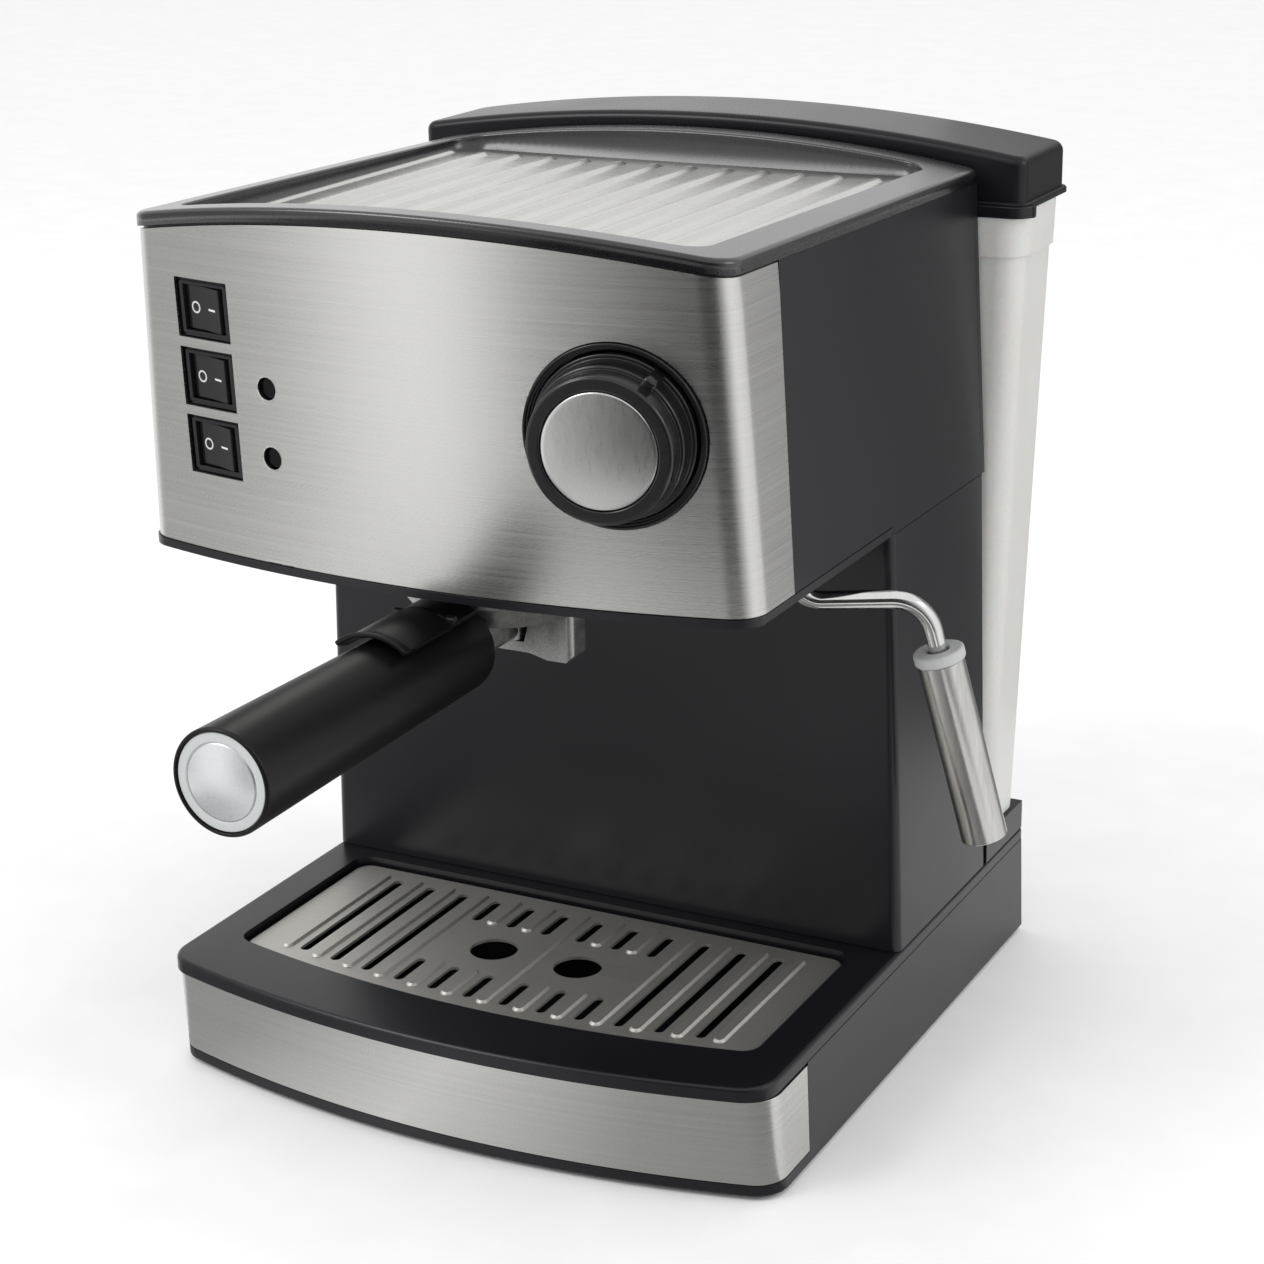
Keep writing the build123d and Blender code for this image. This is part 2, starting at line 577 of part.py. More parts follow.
VALVE_BACK = -48.0
valve_body = pin_along(KNOB, -20, BEZEL_FLOOR - 1.8, 7.5) + pin_along(KNOB, VALVE_BACK, -20, 9.5)
valve_body -= pin_along(KNOB, -39, 20, SPINDLE_RADIUS + RUNNING)
valve_body -= pin_along(KNOB, -46, -38.9, 1.5)
save("steam_valve_body", valve_body)

# ---------------------------------------------------------------------------
# Steam wand
# ---------------------------------------------------------------------------
heading = radians(WAND_HEADING)
lean = radians(WAND_LEAN)
ALONG = Vector(cos(heading), sin(heading), 0)
DOWN = Vector(ALONG.X * sin(lean), ALONG.Y * sin(lean), -cos(lean))
SWIVEL = Vector(WAND_X, WAND_Y, WAND_Z)
LOWER_BEND = SWIVEL + ALONG * WAND_REACH
CAP_DROP = 16.0             # from the lower bend's corner to the froth cap
TUBE_DROP = 46.0
CAP_TOP = LOWER_BEND + DOWN * CAP_DROP
FROTH = Plane(origin=CAP_TOP, z_dir=DOWN)
wand_top = SWIVEL + Vector(0, 0, 26)
wand_end = LOWER_BEND + DOWN * TUBE_DROP
wand_tube = pipe([wand_top, SWIVEL, LOWER_BEND, wand_end], [8.0, 13.0], WAND_RADIUS, 1.8)
TIP = Plane(origin=wand_end, z_dir=DOWN)
wand_tube += pin_along(TIP, -2, 2.5, WAND_RADIUS, 1.9) - pin_along(TIP, -5, 5, 0.7)
save("wand_tube", wand_tube)

froth_cap = pin_along(FROTH, 0, FROTH_CAP_THICK, FROTH_CAP_RADIUS)
froth_cap = fillet(froth_cap.edges().filter_by(GeomType.CIRCLE), 0.7)
froth_cap += pin_along(FROTH, FROTH_CAP_THICK - 1, FROTH_CAP_THICK + 7, SLEEVE_RADIUS - SLEEVE_WALL - 0.1)
froth_cap -= pin_along(FROTH, -5, 30, WAND_RADIUS + SLIP)
save("froth_cap", froth_cap)

sleeve_start = FROTH_CAP_THICK + 0.1
froth_sleeve = pin_along(FROTH, sleeve_start, sleeve_start + SLEEVE_LENGTH, SLEEVE_RADIUS)
froth_sleeve -= pin_along(FROTH, 0, sleeve_start + SLEEVE_LENGTH + 5, SLEEVE_RADIUS - SLEEVE_WALL)
save("froth_sleeve", froth_sleeve)

wand_nut = rod(WAND_X, WAND_Y, HEAD_LOW - 2.2, HEAD_LOW - SEAM, NUT_RADIUS + 2.4)
wand_nut = chamfer(wand_nut.edges().group_by(Axis.Z)[0], 0.8)
wand_nut += rod(WAND_X, WAND_Y, HEAD_LOW - SEAM, HEAD_LOW + 16, NUT_RADIUS)
wand_nut -= rod(WAND_X, WAND_Y, 100, HEAD_LOW + 13.3, WAND_RADIUS + RUNNING)
wand_nut -= rod(WAND_X, WAND_Y, 100, HEAD_LOW + 30, 1.8)
save("wand_nut", wand_nut)

# ---------------------------------------------------------------------------
# Brewing group and boiler
# ---------------------------------------------------------------------------
def wedge(radius, low, high, angle, turn):
    """A pie slice about the group axis, angle wide, centred on the heading turn."""
    half = radians(angle) / 2
    reach = radius / cos(half)
    tip_a = (reach * cos(-half), reach * sin(-half))
    tip_b = (reach * cos(half), reach * sin(half))
    slice_face = make_face(Polyline((0, 0), tip_a, tip_b, close=True)) & Circle(radius)
    return GROUP * Rot(0, 0, turn) * slab(slice_face, low, high)


LUG_TURNS = [90 + index * 360 / LUG_COUNT for index in range(LUG_COUNT)]
ring_bore = BOWL_RADIUS + 0.6
channel = LUG_RADIUS + 0.5
group_casting = rod(0, GROUP_Y, HEAD_LOW - 2.5, 190, RING_RADIUS)
group_casting += rod(0, GROUP_Y, 190, BOILER_JOINT - SEAM, BOILER_RADIUS)
group_casting -= rod(0, GROUP_Y, 100, 184.5, ring_bore)
group_casting -= rod(0, GROUP_Y, LUG_LOW - 0.3, 178.6, channel)
for turn in LUG_TURNS:
    notch = wedge(channel - 0.15, 160, LUG_LOW + 1, LUG_ANGLE + 5, turn - UNLOCK_ANGLE)
    group_casting -= notch
BOILER_WALL = 4.5
group_casting -= rod(0, GROUP_Y, 190, BOILER_JOINT + 5, BOILER_RADIUS - BOILER_WALL)
group_casting -= rod(0, GROUP_Y, 170, 200, 3.2)
EARS = [45, 135, 225, 315]
EAR_RADIUS = BOILER_RADIUS + 5
EAR_TALL = 6.0
for turn in EARS:
    ear = Pos(EAR_RADIUS, 0, BOILER_JOINT - SEAM - EAR_TALL / 2) * Cylinder(5.5, EAR_TALL)
    bolt_hole = Pos(EAR_RADIUS, 0, BOILER_JOINT) * Cylinder(2.2, 2.5 * EAR_TALL)
    group_casting += GROUP * Rot(0, 0, turn) * ear
    group_casting -= GROUP * Rot(0, 0, turn) * bolt_hole
save("group_casting", group_casting)

boiler_cover = rod(0, GROUP_Y, BOILER_JOINT + SEAM, BOILER_TOP, BOILER_RADIUS)
boiler_cover = fillet(boiler_cover.edges().group_by(Axis.Z)[-1], 5)
for turn in EARS:
    ear = Pos(EAR_RADIUS, 0, BOILER_JOINT + SEAM + EAR_TALL / 2) * Cylinder(5.5, EAR_TALL)
    bolt_hole = Pos(EAR_RADIUS, 0, BOILER_JOINT) * Cylinder(2.2, 2.5 * EAR_TALL)
    boiler_cover += GROUP * Rot(0, 0, turn) * ear
    boiler_cover -= GROUP * Rot(0, 0, turn) * bolt_hole
boiler_cover -= rod(0, GROUP_Y, BOILER_JOINT - 5, BOILER_TOP - BOILER_WALL, BOILER_RADIUS - BOILER_WALL)
TERMINAL_X = 15.0
for x in (-TERMINAL_X, TERMINAL_X):
    boiler_cover -= rod(x, GROUP_Y + 20, 200, 260, 4.0)
save("boiler_cover", boiler_cover)

SEAL_RADIUS = BOILER_RADIUS - BOILER_WALL - 1.3
boiler_seal = rod(0, GROUP_Y, BOILER_JOINT - 1.5, BOILER_JOINT + 1.5, SEAL_RADIUS + 1.2)
boiler_seal -= rod(0, GROUP_Y, 190, 230, SEAL_RADIUS - 0.6)
save("boiler_seal", boiler_seal)

bolts = []
for turn in EARS:
    place = GROUP * Rot(0, 0, turn) * Pos(EAR_RADIUS, 0, BOILER_JOINT)
    clamped = EAR_TALL + SEAM + 0.1
    shank = Cylinder(1.95, 2 * clamped)
    head = Pos(0, 0, clamped + 1.5) * Cylinder(3.6, 3)
    nut = Pos(0, 0, -clamped - 1.5) * Cylinder(3.6, 3)
    bolts.append(place * (shank + head + nut))
save("boiler_bolts", Compound(children=bolts))

HEATER_RADIUS = 24.0
heater_z = 199.0
coil = GROUP * Pos(0, 0, heater_z) * Torus(HEATER_RADIUS, 3.2)
coil -= span(-4, 4, GROUP_Y, GROUP_Y + 40, 190, 210)
heating_element = coil
for x in (-TERMINAL_X, TERMINAL_X):
    heating_element += rod(x, GROUP_Y + 20, heater_z - 1, BOILER_TOP + 14, 3.2)
save("heating_element", heating_element)

thermostats = []
for x, y in ((-16, -96), (16, -96), (0, -74)):
    can = rod(x, y, BOILER_TOP + 0.2, BOILER_TOP + 7, 7.5)
    blades = span(x - 4.4, x - 3.6, y - 3, y + 3, BOILER_TOP + 7, BOILER_TOP + 14)
    blades += span(x + 3.6, x + 4.4, y - 3, y + 3, BOILER_TOP + 7, BOILER_TOP + 14)
    thermostats.append(can + blades)
save("thermostats", Compound(children=thermostats))

brew_gasket = rod(0, GROUP_Y, BOWL_TOP + 0.9, 184.3, ring_bore - 0.2)
brew_gasket -= rod(0, GROUP_Y, 170, 190, BASKET_RADIUS - 0.5)
save("brew_gasket", brew_gasket)

SCREEN_RADIUS = BASKET_RADIUS - 0.9
shower_screen = rod(0, GROUP_Y, 175.6, 176.6, SCREEN_RADIUS)
shower_screen += rod(0, GROUP_Y, 176.6, 184.2, SCREEN_RADIUS) - rod(0, GROUP_Y, 170, 190, SCREEN_RADIUS - 1)
for inward, count in ((16.6, 8), (10.6, 14), (4.6, 20)):
    for index in range(count):
        hole = GROUP * Rot(0, 0, index * 360 / count) * Pos(SCREEN_RADIUS - inward, 0, 176) * Cylinder(0.9, 4)
        shower_screen -= hole
shower_screen -= rod(0, GROUP_Y, 170, 180, 2.4)
save("shower_screen", shower_screen)

SCREEN_SCREW = Plane(origin=(0, GROUP_Y, 175.4), x_dir=(1, 0, 0), z_dir=(0, 0, -1))
save("screen_screw", screw(SCREEN_SCREW, 2.1, 12, 4.2, 2.2))

# ---------------------------------------------------------------------------
# Filter holder
# ---------------------------------------------------------------------------
bowl = Cone(BOWL_RADIUS - BOWL_TAPER, BOWL_RADIUS, 7)
holder = GROUP * Pos(0, 0, BOWL_LOW + 3.5) * bowl
holder += rod(0, GROUP_Y, BOWL_LOW + 7, BOWL_TOP, BOWL_RADIUS)
for turn in LUG_TURNS:
    holder += wedge(LUG_RADIUS, LUG_LOW, LUG_TOP, LUG_ANGLE, turn)
bowl_inner = BASKET_RADIUS + BOWL_FIT
NECK_HALF = 7.5
neck = span(-NECK_HALF, NECK_HALF, HANDLE_START, GROUP_Y, HANDLE_Z - 4, BOWL_LOW + 3)
neck = fillet(neck.edges().filter_by(Axis.Y), 2.5)
holder += neck
holder -= rod(0, GROUP_Y, BOWL_LOW + 6.5, 200, bowl_inner)
holder -= GROUP * Pos(0, 0, BOWL_LOW + 4.8) * Cone(20, bowl_inner, 3.4)
HANDLE = Plane(origin=(0, 0, HANDLE_Z), x_dir=(1, 0, 0), z_dir=(0, -1, 0))
BOLT_RADIUS = 3.0
holder -= pin_along(HANDLE, -HANDLE_START - 14, -HANDLE_START + 5, BOLT_RADIUS + 0.1)
SPOUT_HALF_Y = 5.0
boss = rod(0, GROUP_Y, HANDLE_Z - 4, BOWL_LOW + 1, 9)
holder += boss
holder -= rod(0, GROUP_Y, 100, 165, 3.0)
save("filter_holder", holder)

filter_basket = rod(0, GROUP_Y, BOWL_LOW + 9, BOWL_TOP + 0.1, BASKET_RADIUS)
filter_basket -= rod(0, GROUP_Y, BOWL_LOW + 9.6, 200, BASKET_RADIUS - 0.6)
basket_flange = rod(0, GROUP_Y, BOWL_TOP + 0.1, BOWL_TOP + 0.6, BASKET_RADIUS + 3.5)
filter_basket += basket_flange - rod(0, GROUP_Y, 170, 190, BASKET_RADIUS - 0.6)
for inward, count in ((20.5, 6), (15.5, 12), (10.5, 18), (5.5, 24)):
    for index in range(count):
        place = GROUP * Rot(0, 0, index * 360 / count) * Pos(BASKET_RADIUS - inward, 0, BOWL_LOW + 9.3)
        filter_basket -= place * Cylinder(0.6, 2)
save("filter_basket", filter_basket)

SPOUT_REACH = 25.2
spout_top = HANDLE_Z - 4.4
SPOUT_LOW = 141.5
SPOUT_MIDDLE = 143.0
SPOUT_END = 17.0            # inner end of the block round each outlet
right_side = [(9.4, spout_top), (12, BOWL_LOW - 0.3), (SPOUT_REACH, BOWL_LOW - 0.3),
              (SPOUT_REACH, SPOUT_LOW + 2), (SPOUT_REACH - 2, SPOUT_LOW), (SPOUT_END, SPOUT_LOW),
              (SPOUT_END - 6, SPOUT_MIDDLE)]
left_side = [(-x, z) for x, z in reversed(right_side)]
outline = Polyline(*right_side, *left_side, close=True)
double_spout = GROUP * extrude(Plane.XZ * make_face(outline), SPOUT_HALF_Y, both=True)
double_spout = fillet(double_spout.edges().filter_by(Axis.Z).sort_by(SortBy.LENGTH)[-4:], 2.0)
for x in (-20, 20):
    double_spout -= rod(x, GROUP_Y, 100, 150, 2.8)
double_spout -= pin_along(Plane(origin=(0, GROUP_Y, 149), z_dir=(1, 0, 0)), -20, 20, 1.8)
double_spout -= rod(0, GROUP_Y, 147, 170, 3.0)
save("double_spout", double_spout)

# ---------------------------------------------------------------------------
# Handle and basket retainer
# ---------------------------------------------------------------------------
handle_length = HANDLE_START - HANDLE_END
profile = Polyline((0, 0), (HANDLE_RADIUS_IN - 5, 0), (HANDLE_RADIUS_IN - 1.5, 2.2), (HANDLE_RADIUS_IN, 5.5),
                   (HANDLE_RADIUS_OUT, handle_length - 3), (HANDLE_RADIUS_OUT - 0.8, handle_length),
                   (0, handle_length), close=True)
grip_axis = Plane(origin=(0, HANDLE_START, HANDLE_Z), x_dir=(1, 0, 0), z_dir=(0, -1, 0))
grip = grip_axis * revolve(Plane.XZ * make_face(profile), Axis.Z)
HUB_HALF = 10.0
HUB_RADIUS = 16.6
hub = pin_along(HANDLE, -GROUP_Y + BOWL_RADIUS, -LEVER_PIVOT_Y + 2.2, HUB_RADIUS)
hub &= span(-HUB_HALF, HUB_HALF, -300, 0, HANDLE_Z + 4, 200)
handle_grip = grip + hub - rod(0, GROUP_Y, BOWL_LOW - 0.3, 200, BOWL_RADIUS + SLIP)
CAP_DEPTH = 2.2
handle_grip -= pin_along(HANDLE, -HANDLE_END - CAP_DEPTH, -HANDLE_END + 5, HANDLE_RADIUS_OUT - 1.2)
handle_grip -= pin_along(HANDLE, -HANDLE_START - 1, -HANDLE_END - 20, BOLT_RADIUS + 0.1)
lever_axis = Plane(origin=(0, LEVER_PIVOT_Y, LEVER_PIVOT_Z), x_dir=(0, 1, 0), z_dir=(1, 0, 0))
KNUCKLE_HALF = 5.0
KNUCKLE_RADIUS = 2.4
pocket_half = KNUCKLE_HALF + SLIP
pocket_radius = KNUCKLE_RADIUS + SLIP + 0.2
handle_grip -= pin_along(lever_axis, -pocket_half, pocket_half, pocket_radius)
handle_grip -= span(-pocket_half, pocket_half, LEVER_PIVOT_Y - pocket_radius, LEVER_PIVOT_Y + pocket_radius,
                    LEVER_PIVOT_Z, LEVER_PIVOT_Z + 20)
handle_grip -= pin_along(lever_axis, -20, 20, LEVER_PIN_RADIUS + 0.02)
save("handle_grip", handle_grip)

bolt = pin_along(HANDLE, -HANDLE_START - 13.5, -HANDLE_END - 20.3, BOLT_RADIUS)
save("handle_bolt", bolt)

disc_radius = HANDLE_RADIUS_OUT - 1.35
END_SPHERE = 40.0
end_disc = pin_along(HANDLE, -HANDLE_END - CAP_DEPTH + 0.05, -HANDLE_END - 0.6, disc_radius)
dome = pin_along(HANDLE, -HANDLE_END - CAP_DEPTH + 0.3, -HANDLE_END + 5, disc_radius - 2.6)
dome &= HANDLE * (Pos(0, 0, -HANDLE_END + 0.8 - END_SPHERE) * Sphere(END_SPHERE))
save("handle_end_disc", end_disc + dome)

LEVER_HALF = 11.0
LEVER_TIP = -153.5
saddle_inner = 15.0
saddle = pin_along(HANDLE, -LEVER_PIVOT_Y + 2.8, -LEVER_TIP, saddle_inner + 2.0)
saddle -= pin_along(HANDLE, 0, 400, saddle_inner)
saddle &= span(-LEVER_HALF, LEVER_HALF, -300, 0, HANDLE_Z + 8, 200)
knuckle = pin_along(lever_axis, -KNUCKLE_HALF, KNUCKLE_HALF, KNUCKLE_RADIUS)
web = span(-KNUCKLE_HALF, KNUCKLE_HALF, LEVER_PIVOT_Y - 4, LEVER_PIVOT_Y,
           LEVER_PIVOT_Z + 1.2, LEVER_PIVOT_Z + 2.4)
retainer_lever = saddle + knuckle + web - pin_along(lever_axis, -20, 20, LEVER_PIN_RADIUS + RUNNING)
save("retainer_lever", retainer_lever)

save("lever_pin", pin_along(lever_axis, -HUB_HALF + 0.3, HUB_HALF - 0.3, LEVER_PIN_RADIUS))

# ---------------------------------------------------------------------------
# Water tank and lid
# ---------------------------------------------------------------------------
TANK_LOW = REAR_DECK_TOP + 0.3


def tank_sizes(inset, z):
    half = at_height(TANK_HALF_LOW, TANK_HALF_TOP, z, TANK_LOW, COLLAR_LOW)
    rear = at_height(TANK_REAR_LOW, TANK_REAR_TOP, z, TANK_LOW, COLLAR_LOW)
    return half - inset, TANK_FRONT + inset, rear - inset


TANK_CORNER = 8.0
tank = straight_block(lambda z: tank_sizes(0, z), TANK_LOW, TANK_TOP, TANK_CORNER)
tank += straight_block(lambda z: tank_sizes(-COLLAR_PROUD, z), COLLAR_LOW, TANK_TOP, TANK_CORNER + 1)
tank -= straight_block(lambda z: tank_sizes(TANK_WALL, z), TANK_LOW + TANK_WALL, TANK_TOP + 10, TANK_CORNER - 2)
SPIGOT_LOW = 40.0
spigot = rod(0, SPOUT_Y, SPIGOT_LOW, TANK_LOW + 0.5, SPIGOT_RADIUS)
tank += spigot - rod(0, SPOUT_Y, 30, TANK_LOW, SPIGOT_RADIUS - 1.6)
OUTLET_RADIUS = 4.5
tank -= rod(0, SPOUT_Y, 30, 60, OUTLET_RADIUS)
save("water_tank", tank)

FLOOR_TOP = TANK_LOW + TANK_WALL
PLUNGER_LOW = 42.0
SPRING_RADIUS = 5.7
SPRING_WIRE = 0.4
plunger = rod(0, SPOUT_Y, FLOOR_TOP + 0.1, FLOOR_TOP + 2.3, OUTLET_RADIUS + 2)
plunger += rod(0, SPOUT_Y, PLUNGER_LOW, FLOOR_TOP + 6, 1.8)
plunger += rod(0, SPOUT_Y, PLUNGER_LOW, PLUNGER_LOW + 1.0, SPRING_RADIUS + 1)
save("tank_valve", plunger)

SPRING_LOW = PLUNGER_LOW + 1.0 + SPRING_WIRE + 0.1
SPRING_TALL = TANK_LOW - SPRING_WIRE - 0.1 - SPRING_LOW
SPRING_TURNS = 2.5
helix = Helix(SPRING_TALL / SPRING_TURNS, SPRING_TALL, SPRING_RADIUS)
spring_wire = sweep(Plane(origin=helix @ 0, z_dir=helix % 0) * Circle(SPRING_WIRE), path=helix, is_frenet=True)
save("valve_spring", Pos(0, SPOUT_Y, SPRING_LOW) * spring_wire)

socket_bore = SPIGOT_RADIUS + 0.45
tank_socket = rod(0, SPOUT_Y, 30, REAR_DECK_TOP - 0.2, SOCKET_RADIUS - SEAM)
tank_socket -= rod(0, SPOUT_Y, 34, 60, socket_bore)
tank_socket += rod(0, SPOUT_Y, 20, 30, 3.6)
tank_socket -= rod(0, SPOUT_Y, 10, 40, 2.0)
for turn in (0, 90, 180, 270):
    rail = Rot(0, 0, turn) * span(0.8, socket_bore + 0.5, -0.6, 0.6, 34, 36)
    tank_socket += Pos(0, SPOUT_Y, 0) * rail
tank_socket += rod(0, SPOUT_Y, 34, PLUNGER_LOW - SLIP, 1.8)
save("tank_socket", tank_socket)

seal = rod(0, SPOUT_Y, 36.2, 39.7, socket_bore - 0.1) - rod(0, SPOUT_Y, 30, 50, SPIGOT_RADIUS - 2)
save("socket_seal", seal)

LID_LOW = TANK_TOP + 0.3


def lid_outline(gap):
    """Plan of the lid, grown by gap."""
    middle = Pos(0, (LID_FRONT + LID_REAR) / 2)
    return middle * RectangleRounded(2 * (LID_HALF + gap), LID_REAR - LID_FRONT + 2 * gap, 4 + max(gap, -2))


tank_lid = slab(lid_outline(0), LID_LOW, 300) & under_lid_arch()
tank_lid -= slab(lid_outline(-LID_WALL), 200, 300) & under_lid_arch(LID_WALL)
tank_lid += slab(lid_outline(1.5), LID_LOW, LID_LOW + 1.8) - slab(lid_outline(-LID_WALL), 200, 300)


def mouth(gap):
    """Plan of the tank's mouth, drawn in by gap."""
    half, front, rear = tank_sizes(TANK_WALL + gap, TANK_TOP)
    return Pos(0, (front + rear) / 2) * RectangleRounded(2 * half, rear - front, TANK_CORNER - 2)


skirt = slab(mouth(0.6), TANK_TOP - 6, LID_LOW + 3) - slab(mouth(2.2), 200, 300)
tank_lid += skirt
lip_inner = tank_sizes(-COLLAR_PROUD - SLIP, TANK_TOP)
lip = slab(lid_outline(2.9), TANK_TOP - 2.4, LID_LOW + 1.0) & span(-150, 150, 0, 72, 0, 300)
lip -= span(-lip_inner[0], lip_inner[0], lip_inner[1], 200, 0, LID_LOW)
lip -= slab(lid_outline(-LID_WALL), 200, 300)
tank_lid += lip
save("tank_lid", tank_lid)

# ---------------------------------------------------------------------------
# Pump, hoses and pipes
# ---------------------------------------------------------------------------
PUMP_X = 40.0
PUMP_Y = 14.0
PUMP_LOW = 62.0
pump_body = rod(PUMP_X, PUMP_Y, PUMP_LOW, PUMP_LOW + 78, 11.5)
pump_body += rod(PUMP_X, PUMP_Y, PUMP_LOW - 14, PUMP_LOW, 4.0)
pump_body += rod(PUMP_X, PUMP_Y, PUMP_LOW + 78, PUMP_LOW + 90, 5.5)
save("pump_body", pump_body)

coil_block = span(PUMP_X - 20, PUMP_X + 20, PUMP_Y - 22, PUMP_Y + 22, PUMP_LOW + 18, PUMP_LOW + 58)
coil_block = fillet(coil_block.edges().filter_by(Axis.Z), 4)
save("pump_coil", coil_block - rod(PUMP_X, PUMP_Y, 0, 300, 11.7))

BRACKET_BACK = COVER_FRONT - 0.3
mounts = []
for low in (PUMP_LOW + 4, PUMP_LOW + 62):
    arm = span(PUMP_X - 17, PUMP_X + 17, PUMP_Y - 4, BRACKET_BACK, low, low + 10)
    arm += rod(PUMP_X, PUMP_Y, low, low + 10, 17)
    mounts.append(arm - rod(PUMP_X, PUMP_Y, 0, 300, 11.6))
save("pump_mounts", Compound(children=mounts))

HOSE_RADIUS = 3.6
suction_low = 12.0
suction_path = [(0, SPOUT_Y, 19.7), (0, SPOUT_Y, suction_low), (PUMP_X, PUMP_Y, suction_low),
                (PUMP_X, PUMP_Y, PUMP_LOW - 14.3)]
save("suction_hose", pipe(suction_path, [6.0, 14.0], HOSE_RADIUS, 2.2))

PIPE_RADIUS = 2.0
BOILER_INLET = (-24.0, GROUP_Y + 12.0)
pressure_path = [(PUMP_X, PUMP_Y, PUMP_LOW + 90.3), (PUMP_X, PUMP_Y, 196), (PUMP_X, -10, 250),
                 (BOILER_INLET[0], BOILER_INLET[1], 257), (BOILER_INLET[0], BOILER_INLET[1], BOILER_TOP + 0.3)]
save("pressure_hose", pipe(pressure_path, [10.0, 12.0, 8.0], PIPE_RADIUS, 1.1))

STEAM_OUTLET = (24.0, GROUP_Y + 2.0)
valve_in = KNOB * Pos(0, 9.8, -40)
valve_in = (valve_in.position.X, valve_in.position.Y, valve_in.position.Z)
steam_path = [(STEAM_OUTLET[0], STEAM_OUTLET[1], BOILER_TOP + 0.3), (STEAM_OUTLET[0], STEAM_OUTLET[1], 250),
              (valve_in[0], valve_in[1], 250), valve_in]
valve_out = KNOB * Pos(0, -9.8, -44)
valve_out = (valve_out.position.X, valve_out.position.Y, valve_out.position.Z)
feed_path = [valve_out, (valve_out[0], valve_out[1], 203), (WAND_X, WAND_Y, 203),
             (WAND_X, WAND_Y, HEAD_LOW + 16.3)]
steam_pipes = [pipe(path, [5.0, 5.0], PIPE_RADIUS, 1.1) for path in (steam_path, feed_path)]
save("steam_pipes", Compound(children=steam_pipes))

# ---------------------------------------------------------------------------
# Power inlet, terminal block, wires and screws
# ---------------------------------------------------------------------------
CORD_RADIUS = 3.6
cord_gland = pin_along(GLAND, -7, 0.2, GLAND_RADIUS) + pin_along(GLAND, 0.2, 2.6, GLAND_RADIUS + 2.6)
cord_gland -= pin_along(GLAND, -20, 20, CORD_RADIUS)
save("cord_gland", cord_gland)

TERMINAL = (-60.0, 20.0)
terminal_block = span(TERMINAL[0] - 22, TERMINAL[0] + 22, TERMINAL[1] - 8, TERMINAL[1] + 8, 4, 18)
for index in range(4):
    terminal_block -= rod(TERMINAL[0] - 15 + index * 10, TERMINAL[1], 12, 30, 2.6)
save("terminal_block", terminal_block)

WIRE = 1.3
wires = []
for index, place in enumerate(SWITCHES):
    tail = place * Pos(5, 0, -25)
    x, y, z = tail.position.X, tail.position.Y, tail.position.Z
    lane = -72.0 + index * 6
    depth = 30.0 - index * 6
    wires.append(pipe([(x, y, z), (x, y + 14, z), (lane, depth, 190), (lane, depth, 40),
                       (TERMINAL[0] - 15 + index * 10, TERMINAL[1], 28),
                       (TERMINAL[0] - 15 + index * 10, TERMINAL[1], 12.5)], [4.0, 12.0, 12.0, 3.0], WIRE))
save("wires", Compound(children=wires))

screws = []
for x, z in REAR_SCREWS:
    seat = Plane(origin=(x, COLUMN_BACK, z), x_dir=(1, 0, 0), z_dir=(0, 1, 0))
    screws.append(screw(seat, SCREW_RADIUS, 9, 2.8, 1.3))
for x, y in COVER_SCREWS:
    seat = Plane(origin=(x, y, BASE_LOW), x_dir=(1, 0, 0), z_dir=(0, 0, -1))
    screws.append(screw(seat, SCREW_RADIUS, 9, 2.8, 1.3))
save("housing_screws", Compound(children=screws))
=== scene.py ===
# %% [markdown]
# # A home espresso machine
# The machine is a black plastic body with brushed stainless sheets on its front, base, cup
# shelf and drip grate. The CAD model gives every piece its place and its size. This file gives
# the pieces that are seen most a finer surface, and every piece a finish.

# %% Load the frame
import bpy
import bmesh
import json
import numpy as np
from math import radians
from mathutils import Matrix, Vector


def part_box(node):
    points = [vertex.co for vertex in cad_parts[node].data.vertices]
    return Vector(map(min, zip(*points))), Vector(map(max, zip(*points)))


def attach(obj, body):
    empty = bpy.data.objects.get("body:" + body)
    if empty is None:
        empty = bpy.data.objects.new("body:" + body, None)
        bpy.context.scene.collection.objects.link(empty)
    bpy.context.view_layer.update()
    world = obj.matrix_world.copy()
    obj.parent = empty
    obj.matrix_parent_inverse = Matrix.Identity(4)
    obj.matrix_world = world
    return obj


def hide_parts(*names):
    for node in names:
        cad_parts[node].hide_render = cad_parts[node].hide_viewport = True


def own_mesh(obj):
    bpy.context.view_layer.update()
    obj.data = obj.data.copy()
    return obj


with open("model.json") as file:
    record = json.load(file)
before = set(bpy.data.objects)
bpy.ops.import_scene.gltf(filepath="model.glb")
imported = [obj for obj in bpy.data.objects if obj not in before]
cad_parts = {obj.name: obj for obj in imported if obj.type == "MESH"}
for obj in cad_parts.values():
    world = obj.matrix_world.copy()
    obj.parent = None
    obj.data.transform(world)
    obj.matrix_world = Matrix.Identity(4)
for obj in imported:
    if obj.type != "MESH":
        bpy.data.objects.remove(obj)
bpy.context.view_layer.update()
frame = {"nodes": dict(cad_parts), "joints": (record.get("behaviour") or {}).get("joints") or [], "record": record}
joints = {joint["name"]: joint for joint in frame["joints"]}
print("CAD nodes:", len(frame["nodes"]), "joints:", len(joints))

# %% [markdown]
# ## Driving sizes
# The sheets are bent round one plan: a wide bow across the front with a small radius at each
# front corner. The head tapers as it rises, so its half width and its depth are straight-line
# functions of height. All sizes are millimetres, and the mesh helper turns them into metres.

# %% Driving sizes
MM = 0.001
BOW_RADIUS = 370.0
FRONT_CORNER = 10.0
WRAP_END = -93.2
SHEET = 0.8
SHEET_EDGE = 0.15

